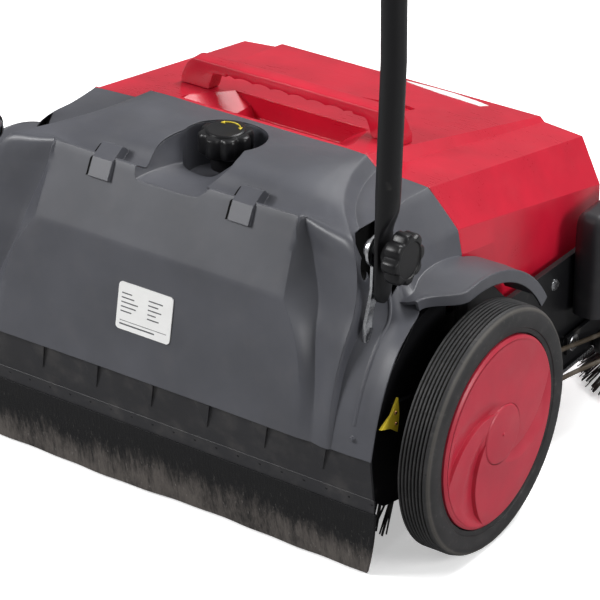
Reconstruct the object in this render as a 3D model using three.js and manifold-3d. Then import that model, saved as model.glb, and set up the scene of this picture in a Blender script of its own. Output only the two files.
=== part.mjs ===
// Walk-behind push sweeper: a chassis on two large wheels and two front casters, a cylindrical
// main broom driven by ring gears in the wheels, two belt-driven side brooms, a lift-out hopper
// and a folding push handle. Millimetres, +X to the operator's right, +Y forwards, +Z up.
// Every piece is drawn from a point on the floor below the middle of the wheel axle. The finished
// group is then moved so that its origin is on the floor, in the middle of the machine's footprint.
import * as THREE from 'three';
import { mergeVertices } from 'three/addons/utils/BufferGeometryUtils.js';
import Module from 'manifold-3d';

const wasm = await Module();
wasm.setup();

// ---- Driving dimensions -------------------------------------------------------------------
const GAP = 0.3;                     // clearance between pieces that touch

const WHEEL_RADIUS = 125;
const WHEEL_INNER_X = 281;           // inner face of the tyre
const WHEEL_OUTER_X = 318;           // outer face of the tyre
const WHEEL_SIDES = 30;              // facets round the tyre, rim and hub cap
const HUB_RADIUS = 98;               // seat of the tyre on the rim
const AXLE_Z = WHEEL_RADIUS;
const AXLE_RADIUS = 8;

const PLATE_INNER_X = 246;           // side frame
const PLATE_OUTER_X = 252;
const FRAME_BOTTOM_Z = 62;
const RAIL_TOP_Z = 190;
const FRAME_FRONT_Y = 345;

const REAR_Y = -139;                 // rearmost point of the machine, on the cover's lip
const SEAM_Y = 50;                   // joint line between rear cover and hopper
const HOPPER_FRONT_Y = 325;

const RING_TEETH = 56;
const PINION_TEETH = 24;
const GEAR_MODULE = 3;
const BROOM_OFFSET = GEAR_MODULE * (RING_TEETH - PINION_TEETH) / 2;
const BROOM_Y = -28;
const BROOM_Z = AXLE_Z - Math.sqrt(BROOM_OFFSET ** 2 - BROOM_Y ** 2);
const BROOM_RADIUS = 83.5;
const BROOM_LENGTH = 472;

const PIVOT_Y = -80;                 // handle pivot
const PIVOT_Z = 328;
const TUBE_RADIUS = 12.5;
const HANDLE_TOP_Z = 1050;

const SIDE_BROOM = { x: 290, y: 378, radius: 88 };
const ARM_PIVOT = { y: 238, z: 96 };
const CASTER = { x: 75, y: 364, radius: 37.5, trail: 22, plateZ: 111.7 };

// ---- Materials ----------------------------------------------------------------------------
const paint = (color, roughness, metalness) =>
  new THREE.MeshStandardMaterial({ color, roughness, metalness });
const MATERIALS = {
  coverPlastic: paint(0x4a4c52, 0.5, 0),
  hopperPlastic: paint(0xc4283c, 0.4, 0),
  blackPlastic: paint(0x1b1b1e, 0.55, 0),
  blackSteel: paint(0x202125, 0.45, 0.4),
  brightSteel: paint(0xc8cacd, 0.3, 1),
  tyreRubber: paint(0x3a3a3d, 0.8, 0),
  hubRed: paint(0xc23a50, 0.5, 0),
  yellowPlastic: paint(0xe2d24a, 0.5, 0),
  flapRubber: paint(0x2b2a29, 0.85, 0),
  bristle: paint(0x2a2a30, 0.9, 0),
  gearPlastic: paint(0x6a6c70, 0.6, 0),
  foam: paint(0x1a1a1b, 0.95, 0),
  plateWhite: paint(0xececea, 0.5, 0),
};

// ---- Solids -------------------------------------------------------------------------------
function outward(geometry) {
  const p = geometry.attributes.position;
  const index = geometry.index.array;
  const [a, b, c] = [new THREE.Vector3(), new THREE.Vector3(), new THREE.Vector3()];
  let volume = 0;
  for (let i = 0; i < index.length; i += 3) {
    a.fromBufferAttribute(p, index[i]);
    b.fromBufferAttribute(p, index[i + 1]);
    c.fromBufferAttribute(p, index[i + 2]);
    volume += a.dot(b.cross(c));
  }
  if (volume < 0) {
    for (let i = 0; i < index.length; i += 3) {
      [index[i], index[i + 1]] = [index[i + 1], index[i]];
    }
  }
  return geometry;
}

function welded(geometry) {
  const bare = geometry.clone();
  bare.deleteAttribute('normal');
  bare.deleteAttribute('uv');
  return mergeVertices(bare, 1e-4);
}

function toManifold(geometry) {
  const merged = outward(welded(geometry));
  return new wasm.Manifold(new wasm.Mesh({
    numProp: 3,
    vertProperties: new Float32Array(merged.attributes.position.array),
    triVerts: new Uint32Array(merged.index.array),
  }));
}

function toGeometry(solid) {
  const mesh = solid.getMesh();
  const geometry = new THREE.BufferGeometry();
  geometry.setAttribute('position', new THREE.BufferAttribute(mesh.vertProperties, 3));
  geometry.setIndex(new THREE.BufferAttribute(mesh.triVerts, 1));
  geometry.computeVertexNormals();
  return geometry;
}

const join = (...geometries) =>
  toGeometry(geometries.map(toManifold).reduce((sum, next) => sum.add(next)));

const cut = (body, ...tools) =>
  toGeometry(tools.map(toManifold).reduce((rest, tool) => rest.subtract(tool), toManifold(body)));

const common = (a, b) => toGeometry(toManifold(a).intersect(toManifold(b)));

function mirrored(geometry) {
  return outward(welded(geometry.clone().scale(-1, 1, 1)));
}

const box = (x0, x1, y0, y1, z0, z1) =>
  new THREE.BoxGeometry(x1 - x0, y1 - y0, z1 - z0)
    .translate((x0 + x1) / 2, (y0 + y1) / 2, (z0 + z1) / 2);

const rodX = (radius, x0, x1, y, z, sides = 24) =>
  new THREE.CylinderGeometry(radius, radius, x1 - x0, sides)
    .rotateZ(-Math.PI / 2).translate((x0 + x1) / 2, y, z);

const rodZ = (radius, x, y, z0, z1, sides = 24) =>
  new THREE.CylinderGeometry(radius, radius, z1 - z0, sides)
    .rotateX(Math.PI / 2).translate(x, y, (z0 + z1) / 2);

const shapeOf = (points) => new THREE.Shape(points.map(([a, b]) => new THREE.Vector2(a, b)));

function extruded(shape, depth, curveSegments = 6) {
  return new THREE.ExtrudeGeometry(shape, { depth, bevelEnabled: false, curveSegments });
}

// An outline in Y and Z pushed along X, in X and Z along Y, or in X and Y along Z.
function prismX(outline, x0, x1, curveSegments) {
  const shape = outline instanceof THREE.Shape ? outline : shapeOf(outline);
  const turn = new THREE.Matrix4().makeBasis(
    new THREE.Vector3(0, 1, 0), new THREE.Vector3(0, 0, 1), new THREE.Vector3(1, 0, 0));
  return extruded(shape, x1 - x0, curveSegments).applyMatrix4(turn).translate(x0, 0, 0);
}
const prismY = (outline, y0, y1) =>
  extruded(outline instanceof THREE.Shape ? outline : shapeOf(outline), y1 - y0)
    .rotateX(Math.PI / 2).translate(0, y1, 0);
const prismZ = (outline, z0, z1, curveSegments) =>
  extruded(outline instanceof THREE.Shape ? outline : shapeOf(outline), z1 - z0, curveSegments)
    .translate(0, 0, z0);

// A profile of [radius, distance] pairs turned about an axis along X or Z.
const turned = (profile, sides) =>
  new THREE.LatheGeometry(profile.map(([r, h]) => new THREE.Vector2(r, h)), sides);
const turnedX = (profile, y, z, sides) =>
  turned(profile, sides).rotateZ(-Math.PI / 2).translate(0, y, z);
const turnedZ = (profile, x, y, sides) =>
  turned(profile, sides).rotateX(Math.PI / 2).translate(x, y, 0);

const tube = (points, radius, steps, sides = 12) =>
  new THREE.ExtrudeGeometry(new THREE.Shape().absarc(0, 0, radius, 0, 2 * Math.PI), {
    steps, bevelEnabled: false, curveSegments: sides,
    extrudePath: new THREE.CatmullRomCurve3(points.map((p) => new THREE.Vector3(...p)), false,
      'catmullrom', 0.2),
  });

// A solid skinned over a row of closed sections with equal point counts.
// flat gives one section in two dimensions, to triangulate the ends.
function loft(sections, flat) {
  const count = sections[0].length;
  const positions = sections.flat(2);
  const index = [];
  for (let s = 0; s + 1 < sections.length; s += 1) {
    for (let k = 0; k < count; k += 1) {
      const a = s * count + k;
      const b = s * count + (k + 1) % count;
      index.push(a, b, b + count, a, b + count, a + count);
    }
  }
  const caps = THREE.ShapeUtils.triangulateShape(
    flat.map(([u, v]) => new THREE.Vector2(u, v)), []);
  const clockwise = THREE.ShapeUtils.isClockWise(flat.map(([u, v]) => ({ x: u, y: v })));
  const last = (sections.length - 1) * count;
  for (const [a, b, c] of caps) {
    if (clockwise) {
      index.push(a, b, c, last + a, last + c, last + b);
    } else {
      index.push(a, c, b, last + a, last + b, last + c);
    }
  }
  const geometry = new THREE.BufferGeometry();
  geometry.setAttribute('position', new THREE.Float32BufferAttribute(positions, 3));
  geometry.setIndex(index);
  return outward(geometry);
}

// A round cord along a closed curve through the points.
function closedCord(points, radius, steps, sides) {
  const path = new THREE.CatmullRomCurve3(points.map((p) => new THREE.Vector3(...p)), true,
    'catmullrom', 0.5);
  const frames = path.computeFrenetFrames(steps, true);
  const positions = [];
  const index = [];
  for (let s = 0; s < steps; s += 1) {
    const centre = path.getPointAt(s / steps);
    for (let k = 0; k < sides; k += 1) {
      const a = 2 * Math.PI * k / sides;
      const point = centre.clone().addScaledVector(frames.normals[s], radius * Math.cos(a))
        .addScaledVector(frames.binormals[s], radius * Math.sin(a));
      positions.push(...point.toArray());
      const here = s * sides;
      const next = ((s + 1) % steps) * sides;
      const k2 = (k + 1) % sides;
      index.push(here + k, here + k2, next + k2, here + k, next + k2, next + k);
    }
  }
  const geometry = new THREE.BufferGeometry();
  geometry.setAttribute('position', new THREE.Float32BufferAttribute(positions, 3));
  geometry.setIndex(index);
  return outward(geometry);
}

// A shell between a grid of points and the same grid drawn in towards a centre.
function shell(net, centre, inward) {
  const rows = net.length;
  const columns = net[0].length;
  const inner = net.map((row) => row.map((p) => p.map((v, k) =>
    centre[k] + (v - centre[k]) * inward[k])));
  const positions = [...net.flat(2), ...inner.flat(2)];
  const at = (r, c, layer) => layer * rows * columns + r * columns + c;
  const index = [];
  const quad = (a, b, c, d) => index.push(a, b, c, a, c, d);
  for (let r = 0; r + 1 < rows; r += 1) {
    for (let c = 0; c + 1 < columns; c += 1) {
      quad(at(r, c, 0), at(r, c + 1, 0), at(r + 1, c + 1, 0), at(r + 1, c, 0));
      quad(at(r, c, 1), at(r + 1, c, 1), at(r + 1, c + 1, 1), at(r, c + 1, 1));
    }
  }
  for (let c = 0; c + 1 < columns; c += 1) {
    quad(at(0, c, 0), at(0, c, 1), at(0, c + 1, 1), at(0, c + 1, 0));
    quad(at(rows - 1, c, 0), at(rows - 1, c + 1, 0), at(rows - 1, c + 1, 1), at(rows - 1, c, 1));
  }
  for (let r = 0; r + 1 < rows; r += 1) {
    quad(at(r, 0, 0), at(r + 1, 0, 0), at(r + 1, 0, 1), at(r, 0, 1));
    quad(at(r, columns - 1, 0), at(r, columns - 1, 1), at(r + 1, columns - 1, 1),
      at(r + 1, columns - 1, 0));
  }
  const geometry = new THREE.BufferGeometry();
  geometry.setAttribute('position', new THREE.Float32BufferAttribute(positions, 3));
  geometry.setIndex(index);
  return outward(geometry);
}

// A gear outline with straight-sided teeth between a root and a tip radius.
function gearOutline(teeth, rootRadius, tipRadius) {
  const points = [];
  const pitch = 2 * Math.PI / teeth;
  for (let k = 0; k < teeth; k += 1) {
    for (const [radius, share] of [[rootRadius, -0.3], [tipRadius, -0.15], [tipRadius, 0.15],
      [rootRadius, 0.3]]) {
      const angle = (k + share) * pitch;
      points.push([radius * Math.cos(angle), radius * Math.sin(angle)]);
    }
  }
  return points;
}

const group = new THREE.Group();
function add(name, geometry, material) {
  const closed = outward(welded(geometry));
  closed.computeVertexNormals();
  const mesh = new THREE.Mesh(closed, material);
  mesh.name = name;
  group.add(mesh);
}
function addPair(name, rightGeometry, material) {
  add(`${name}_right`, rightGeometry, material);
  add(`${name}_left`, mirrored(rightGeometry), material);
}

// ---- Rear cover ---------------------------------------------------------------------------
// Control net of the right half. Rows run from the seam over the top and down to the lip,
// columns from the middle out to the wheel arch: two over the hood, the panel's edge, the
// hood's edge, the groove, then the shoulder, which turns into the band round the wheel.
const COVER_NET = [
  [[0, 50, 345], [60, 50, 345], [122, 50, 345], [129, 50, 344.5], [142, 50, 333],
    [200, 50, 330], [234, 50, 295], [239, 50, 270]],
  [[0, 8, 349], [60, 8, 349], [126, 8, 348], [139, 11, 343], [151, 10, 331],
    [197, 10, 330], [227, 8, 295], [239, 8, 271]],
  [[0, -50, 347], [60, -50, 347], [134, -46, 344], [165, -41, 338], [174, -34, 326],
    [200, -26, 328], [226, -28, 294], [243, -30, 270]],
  [[0, -70, 336], [60, -70, 336], [140, -70, 335], [187, -66, 333], [192, -52, 318],
    [206, -42, 319], [232, -46, 280], [254, -47, 267]],
  [[0, -82, 338], [60, -82, 338], [143, -82, 339], [203, -82, 329], [208, -66, 292],
    [224, -58, 285], [244, -57, 267], [262, -59, 263]],
  [[0, -97.5, 303.5], [60, -97.5, 303.5], [145.5, -97.5, 303.5], [214, -92, 303],
    [218, -80, 266], [240, -75, 256], [251, -76, 254], [262, -76, 251]],
  [[0, -114, 267], [60, -114, 267], [148, -114, 267], [219, -103, 270], [219, -96, 251],
    [240, -93, 240], [251, -92, 239], [262, -92, 238]],
  [[0, -117, 238], [60, -117, 238], [166, -122, 238], [218, -118, 238], [218, -112, 228],
    [240, -110, 217], [251, -109, 216], [262, -109, 215]],
  [[0, -126, 190], [60, -126, 190], [179, -132, 190], [215, -132, 190], [218, -129, 187],
    [240, -128, 180], [251, -127, 177], [262, -127, 175]],
  [[0, -137, 141], [60, -137, 141], [180, -138, 141], [215, REAR_Y, 141], [218, -138, 141],
    [240, -137, 141], [251, -136.5, 141], [262, -136, 141]],
];

const POCKET = { radius: 41.5, wall: 3, floorZ: 303, topZ: 346.5 };

// Fender over the inner part of the wheel, with a lip turned down along its outer edge.
// From the band's corner the lip swings outwards and sinks towards the tyre.
const FENDER = { start: -22.5, end: 58, seat: 153.5, lip: 152, lipDepth: 11.5, reach: 290 };

function fenderSection(angle) {
  const swing = THREE.MathUtils.smoothstep(angle, FENDER.start, -5);
  const bandX = 262;
  const outer = bandX + (FENDER.reach - bandX) * swing;
  const lip = FENDER.lip + 13 * (1 - THREE.MathUtils.smoothstep(angle, FENDER.start - 4, -8));
  const beyondSeam = FENDER.seat * Math.sin(THREE.MathUtils.degToRad(angle)) > SEAM_Y - 6;
  const inner = beyondSeam ? 243 : 235;
  const seat = FENDER.seat;
  const profile = [[inner, seat], [outer, lip], [outer, lip - FENDER.lipDepth],
    [outer - 3, lip - FENDER.lipDepth], [outer - 3, lip - 3.5], [inner, seat - 3.5]];
  const a = THREE.MathUtils.degToRad(angle);
  return profile.map(([x, r]) => [x, r * Math.sin(a), AXLE_Z + r * Math.cos(a)]);
}
function fender() {
  const angles = [FENDER.start, -20, -17, -14, -11, -8, -5, 0, 8, 16.6, 17.2, 26, 36, 46,
    FENDER.end];
  const flat = [[0, 10], [10, 10], [10, 0], [9, 0], [9, 8], [0, 8]];
  return loft(angles.map(fenderSection), flat);
}

// Wedge-shaped hook that stands over the rear panel's top edge.
function panelHook(x) {
  const outline = [[-62, 334], [-67, 343], [-73, 347], [-88.5, 330], [-91.5, 317.5], [-86, 316]];
  return prismX(outline, x - 12, x + 12);
}

function rearCover() {
  const net = COVER_NET.map((row) => [
    ...row.slice(1).reverse().map(([x, y, z]) => [-x, y, z]), ...row]);
  const skin = shell(net, [0, 0, AXLE_Z], [0.985, 0.972, 0.982]);
  const cup = rodZ(POCKET.radius + POCKET.wall, 0, 0, POCKET.floorZ - POCKET.wall,
    POCKET.topZ, 32);
  const well = rodZ(POCKET.radius, 0, 0, POCKET.floorZ, 360, 32);
  const spindleHole = rodZ(8, 0, 0, 290, 310, 16);
  const scoop = prismX([[-20, 350], [-85, 350], [-90, 331], [-20, 322]], -30, 30);
  const cupShell = cut(cup, well);
  const scoopWall = cut(
    prismX([[-38, 346], [-80, 340], [-84, 330], [-84, 326], [-30, 316]], -33, 33), scoop, well);
  const slot = prismX([[-66, 275], [-92, 275], [-112, 240], [-112, 214], [-88, 214], [-66, 250]],
    224.5, 230.5);
  const right = fender();
  const body = cut(skin, well, scoop, spindleHole);
  return cut(join(body, cupShell, scoopWall, right, mirrored(right), panelHook(83),
    panelHook(-83)), spindleHole, slot, mirrored(slot));
}
add('rear_cover', rearCover(), MATERIALS.coverPlastic);

// ---- Chassis ------------------------------------------------------------------------------
const CROSSBAR = { y: 22, z: 238, radius: 7 };

function sidePlate() {
  const outline = [[-123, 134], [-122, 96], [-114, 82], [-98, 70], [-60, FRAME_BOTTOM_Z],
    [FRAME_FRONT_Y - 45, FRAME_BOTTOM_Z], [FRAME_FRONT_Y, 100], [FRAME_FRONT_Y, 176],
    [FRAME_FRONT_Y - 12, RAIL_TOP_Z], [120, RAIL_TOP_Z + 4], [88, 226], [40, 253], [0, 257],
    [-50, 246], [-88, 212], [-112, 172]];
  const plate = prismX(outline, PLATE_INNER_X, PLATE_OUTER_X);
  const axleHole = rodX(AXLE_RADIUS + GAP, 240, 256, 0, AXLE_Z, 20);
  const broomHole = rodX(19, 240, 256, BROOM_Y, BROOM_Z, 24);
  const crossbarSlot = box(240, 256, CROSSBAR.y - 18, CROSSBAR.y + 18, CROSSBAR.z - 9,
    CROSSBAR.z + 9.5);
  const rail = box(PLATE_OUTER_X - 1, PLATE_OUTER_X + 4, 150, FRAME_FRONT_Y - 55,
    FRAME_BOTTOM_Z, 66);
  return cut(join(plate, rail), axleHole, broomHole, crossbarSlot);
}
addPair('side_frame', sidePlate(), MATERIALS.blackSteel);

function frontCrossmember() {
  const beam = box(-PLATE_OUTER_X, PLATE_OUTER_X, FRAME_FRONT_Y + GAP, 382, 112, 150);
  const bay = box(-244, 244, FRAME_FRONT_Y + 3.5, 378.5, 116, 151);
  return cut(beam, bay);
}
add('front_crossmember', frontCrossmember(), MATERIALS.blackSteel);

function rearApron() {
  const sheet = prismX([[-133, 140.4], [-124.8, 84], [-121.8, 84], [-130, 140.4]], -258, 258);
  const gussets = [-3, -2, -1, 0, 1, 2, 3].map((k) =>
    prismX([[-131, 139], [-135, 139.5], [-127.5, 112]], k * 67.5 - 8, k * 67.5 + 8));
  return join(sheet, ...gussets);
}
add('rear_apron', rearApron(), MATERIALS.coverPlastic);
add('flap_clamp_strip', box(-240, 240, -121.3, -119, 84, 96), MATERIALS.brightSteel);

// The stub axle has a head inside the frame and carries the broom carrier and the wheel.
function stubAxle() {
  return turnedX([[0, 240], [13, 240], [13, 245.7], [AXLE_RADIUS, 245.7], [AXLE_RADIUS, 313],
    [0, 313]], 0, AXLE_Z, 20);
}
addPair('axle', stubAxle(), MATERIALS.brightSteel);

// Flat steel bracket that rises through the slot in the cover to the handle pivot.
function handleBracket() {
  const strap = prismX([[-110, 196], [-94, 196], [-84, 250], [-74, 268], [-74, PIVOT_Z],
    [-86, PIVOT_Z], [-86, 268], [-98, 250]], 225.5, 229.5);
  const foot = prismX([[-110, 196], [-92, 196], [-90, 212], [-106, 214]], 225.5, 245.7);
  const eye = rodX(16, 225.5, 229.5, PIVOT_Y, PIVOT_Z, 28);
  const bore = rodX(4.3, 220, 235, PIVOT_Y, PIVOT_Z, 16);
  return cut(join(strap, foot, eye), bore);
}
addPair('handle_bracket', handleBracket(), MATERIALS.brightSteel);

add('type_plate', box(-32.5, 32.5, 0, 0.8, -24, 24)
  .rotateX(THREE.MathUtils.degToRad(-11)).translate(-8, -123.9, 209), MATERIALS.plateWhite);

// ---- Broom carrier and height adjustment --------------------------------------------------
const ARM_X = 256;
const CAM = { mean: 25, risePerDegree: 0.0814, z0: 284, z1: 291, turn: 165 };
const CAM_PIN = { y: CAM.mean + 4 + 1, radius: 4 };

function carrierArm() {
  const profile = [[-16, AXLE_Z + 2], [-44, BROOM_Z + 4], [-40, BROOM_Z - 13], [-14, BROOM_Z - 12],
    [14, AXLE_Z - 10], [20, AXLE_Z + 10], [32, CROSSBAR.z - 2], [26, CROSSBAR.z + 8],
    [14, CROSSBAR.z + 6], [4, AXLE_Z + 40], [-96, 183], [-100, 160], [-30, AXLE_Z + 14]];
  const arm = prismX(profile, ARM_X, ARM_X + 4);
  return cut(arm, rodX(AXLE_RADIUS + GAP, 250, 265, 0, AXLE_Z, 20),
    rodX(10.4, 250, 265, BROOM_Y, BROOM_Z, 20));
}

function broomCarrier() {
  const bar = rodX(CROSSBAR.radius, -ARM_X - 2, ARM_X + 2, CROSSBAR.y, CROSSBAR.z, 16);
  const tongue = prismX([[16, 236], [28, 236], [36, 276], [36, 280], [24, 280]], -9, 9);
  const pin = rodZ(CAM_PIN.radius, 0, CAM_PIN.y, 276, 292, 16);
  const arm = carrierArm();
  return join(bar, tongue, pin, arm, mirrored(arm));
}
add('broom_carrier', broomCarrier(), MATERIALS.blackSteel);

function heightPointer() {
  const outline = [[-95, 186], [-100, 176], [-121, 168.5], [-104, 163], [-94, 156], [-91, 170]];
  return prismX(outline, ARM_X + 4.3, ARM_X + 7);
}
addPair('height_pointer', heightPointer(), MATERIALS.yellowPlastic);

// Snail cam: its radius at the front grows or shrinks evenly as the knob turns.
function heightCam() {
  const points = [];
  for (let angle = -CAM.turn; angle <= CAM.turn; angle += 15) {
    const radius = CAM.mean + CAM.risePerDegree * angle;
    const a = THREE.MathUtils.degToRad(angle + 90);
    points.push([radius * Math.cos(a), radius * Math.sin(a)]);
  }
  return join(prismZ(points, CAM.z0, CAM.z1), rodZ(7.5, 0, 0, CAM.z1 - 2, 317, 20));
}
add('height_cam', heightCam(), MATERIALS.gearPlastic);

function lobedOutline(lobes, mean, depth, steps) {
  const points = [];
  for (let k = 0; k < steps; k += 1) {
    const a = 2 * Math.PI * k / steps;
    const radius = mean + depth * Math.cos(lobes * a);
    points.push([radius * Math.cos(a), radius * Math.sin(a)]);
  }
  return points;
}
const knobHead = (z0, z1) => prismZ(lobedOutline(8, 25, 2.2, 48), z0, z1);

add('height_knob', join(knobHead(334, 356), rodZ(15, 0, 0, 317.3, 336, 24),
  rodZ(19, 0, 0, 354, 358.5, 24)), MATERIALS.blackPlastic);

// ---- Main broom ---------------------------------------------------------------------------
function broomCore() {
  return turnedX([[0, -301], [6, -301], [6, -283], [10, -283], [10, -238], [33, -238],
    [33, 238], [10, 238], [10, 283], [6, 283], [6, 301], [0, 301]], BROOM_Y, BROOM_Z, 20);
}
add('broom_core', broomCore(), MATERIALS.gearPlastic);

function broomBristles() {
  const half = BROOM_LENGTH / 2;
  const steps = 36;
  const section = (x, twist) => {
    const points = [];
    for (let k = 0; k < steps; k += 1) {
      const a = 2 * Math.PI * k / steps;
      const ridge = Math.cos(6 * (a - twist)) > -0.2 ? BROOM_RADIUS : BROOM_RADIUS - 22;
      points.push([x, BROOM_Y + ridge * Math.cos(a), BROOM_Z + ridge * Math.sin(a)]);
    }
    return points;
  };
  const rings = 6;
  const sections = [];
  for (let r = 0; r < rings; r += 1) {
    const share = r / (rings - 1);
    sections.push(section(-half + BROOM_LENGTH * share, share * Math.PI / 3));
  }
  const solid = loft(sections, sections[0].map(([, y, z]) => [y, z]));
  return cut(solid, rodX(33 + GAP, -half - 1, half + 1, BROOM_Y, BROOM_Z, 20));
}
add('broom_bristles', broomBristles(), MATERIALS.bristle);

function broomPinion() {
  const tip = GEAR_MODULE * PINION_TEETH / 2 - 1.8;
  const gear = prismX(gearOutline(PINION_TEETH, tip - 5, tip), 285, 299);
  return cut(gear.translate(0, BROOM_Y, BROOM_Z), rodX(6 + GAP, 280, 304, BROOM_Y, BROOM_Z, 16));
}
addPair('broom_pinion', broomPinion(), MATERIALS.gearPlastic);

// ---- Wheels -------------------------------------------------------------------------------
const BELT_X = 266;
const BELT_DRIVE_RADIUS = 27;

function tyre() {
  const inner = WHEEL_INNER_X;
  const outer = WHEEL_OUTER_X;
  const profile = [[HUB_RADIUS + GAP, inner + 2], [112, inner], [120, inner + 1],
    [WHEEL_RADIUS, inner + 6], [WHEEL_RADIUS, outer - 6], [120, outer - 1], [112, outer],
    [HUB_RADIUS + GAP, outer - 3], [HUB_RADIUS + GAP, inner + 2]];
  return turnedX(profile, 0, AXLE_Z, WHEEL_SIDES);
}
addPair('tyre', tyre(), MATERIALS.tyreRubber);

// Rim: an open drum with a ring gear inside, a web, a hub and the belt pulley.
function wheelRim() {
  const drum = turnedX([[AXLE_RADIUS + GAP, 261], [31, 261], [BELT_DRIVE_RADIUS, 263],
    [BELT_DRIVE_RADIUS, 269], [31, 271], [12.5, 272], [12.5, 304], [91, 304], [91, 283], [HUB_RADIUS, 283],
    [HUB_RADIUS, 310], [AXLE_RADIUS + GAP, 310], [AXLE_RADIUS + GAP, 261]],
  0, 0, WHEEL_SIDES);
  const toothTip = GEAR_MODULE * RING_TEETH / 2 - 1.5;
  const ring = new THREE.Shape().absarc(0, 0, 92, 0, 2 * Math.PI);
  ring.holes.push(new THREE.Path(gearOutline(RING_TEETH, toothTip + 5, toothTip)
    .map(([a, b]) => new THREE.Vector2(a, b))));
  return join(drum, prismX(ring, 284, 300, 8)).translate(0, 0, AXLE_Z);
}
addPair('wheel_rim', wheelRim(), MATERIALS.gearPlastic);

function hubCap() {
  return turnedX([[0, 313.3], [10, 313.3], [10, 310.3], [97, 310.3], [97, 315], [88, 319],
    [32, 321.5], [30, 324], [0, 324]], 0, AXLE_Z, WHEEL_SIDES);
}
addPair('hub_cap', hubCap(), MATERIALS.hubRed);

// ---- Hopper -------------------------------------------------------------------------------
const hopperSlope = (y) => (y - SEAM_Y) / (HOPPER_FRONT_Y - SEAM_Y);

// Right half of the hopper's cross-section, from the middle of the top down to the floor.
function hopperOutline(y, inset) {
  const t = THREE.MathUtils.clamp(hopperSlope(y), 0, 1);
  const mix = (a, b) => a + (b - a) * t;
  const half = [[mix(128, 162), mix(345, 290)], [mix(142, 167), mix(333, 285)],
    [mix(200, 212), mix(330, 281)], [mix(233, 235), mix(295, 233)], [mix(239, 236), 190],
    [236, 150], [236, 70]];
  const cornerZ = 190;
  const scaled = half.map(([x, z]) => [x * (1 - inset / 236), cornerZ + (z - cornerZ)
    * (1 - inset / 122)]);
  return [...scaled, ...scaled.slice().reverse().map(([x, z]) => [-x, z])];
}

function hopperLoft(yRear, yFront, inset) {
  const sections = [yRear, yFront].map((y) =>
    hopperOutline(y, inset).map(([x, z]) => [x, y, z]));
  return loft(sections, hopperOutline(yRear, inset));
}

const GRIP_RECESS = { halfWidth: 100, y0: 60, y1: 128, ledge: 62, ledgeZ: 318, floorZ: 298 };
const hopperTopZ = (y) => 345 - 55 * hopperSlope(y);

function hopperTub() {
  const wall = 3.5;
  const outer = hopperLoft(SEAM_Y + GAP, HOPPER_FRONT_Y, 0);
  const chin = prismX([[330, 60], [330, 240], [324, 240], [318, 130], [285, 60]], -250, 250);
  const cavity = cut(hopperLoft(SEAM_Y - 10, HOPPER_FRONT_Y - wall, wall),
    prismX([[330, 50], [330, 240], [319, 240], [314, 131], [282, 66], [282, 50]], -250, 250),
    box(-250, 250, 30, 68, 50, 132));
  const broomClearance = box(-250, 250, 40, 64, 50, 178);
  const { halfWidth, y0, y1, ledge, ledgeZ, floorZ } = GRIP_RECESS;
  const wellDepth = prismX([[y0, 360], [y0, floorZ + 8], [y0 + 16, floorZ], [y1 - 10, floorZ],
    [y1, floorZ + 8], [y1, 360]], -halfWidth, halfWidth);
  const wellWidth = prismY([[-halfWidth, 360], [-halfWidth, 340], [-ledge, ledgeZ],
    [-ledge + 8, floorZ], [ledge - 8, floorZ], [ledge, ledgeZ], [halfWidth, 340],
    [halfWidth, 360]], y0, y1);
  const well = common(wellDepth, wellWidth);
  const wellCase = common(outer, box(-halfWidth - wall, halfWidth + wall, y0 - wall, y1 + wall,
    floorZ - wall, 360));
  return cut(join(cut(outer, cavity, broomClearance, chin), wellCase), well);
}
add('hopper_tub', hopperTub(), MATERIALS.hopperPlastic);

// Carry grip: a level bar on two broad feet, with finger scallops along its underside.
const GRIP = { y0: 106, y1: 126, top: 365, under: 353, inner: 100, outer: 133 };

function hopperGrip() {
  const { y0, y1, top, under, inner, outer } = GRIP;
  const outline = new THREE.Shape();
  outline.moveTo(-outer, 320);
  outline.lineTo(-outer + 3, top - 16);
  outline.quadraticCurveTo(-outer + 6, top - 3, -inner - 14, top - 1);
  outline.quadraticCurveTo(0, top + 1, inner + 14, top - 1);
  outline.quadraticCurveTo(outer - 6, top - 3, outer - 3, top - 16);
  outline.lineTo(outer, 320);
  outline.lineTo(inner, 320);
  outline.quadraticCurveTo(inner, under - 4, inner - 10, under - 1);
  for (const x of [66, 44, 22, 0, -22, -44, -66]) {
    outline.quadraticCurveTo(x + 11, under + 5, x, under);
  }
  outline.lineTo(-inner + 10, under - 1);
  outline.quadraticCurveTo(-inner, under - 4, -inner, 320);
  outline.closePath();
  const bar = prismY(outline, y0, y1);
  const belowTop = prismX([[y0 - 1, 300], [y1 + 1, 300], [y1 + 1, hopperTopZ(y1 + 1) + GAP],
    [y0 - 1, hopperTopZ(y0 - 1) + GAP]], -outer - 1, outer + 1);
  return cut(bar, belowTop);
}
add('hopper_grip', hopperGrip(), MATERIALS.hopperPlastic);
addPair('grip_screw', turnedZ([[0, 298.3], [4.5, 298.3], [4.5, 300], [2, 301.6], [0, 301.6]],
  40, 98, 16), MATERIALS.brightSteel);

// ---- Push handle --------------------------------------------------------------------------
const LEG_TOP_Z = 638;
const LEG_TOP_X = 242;

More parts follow.
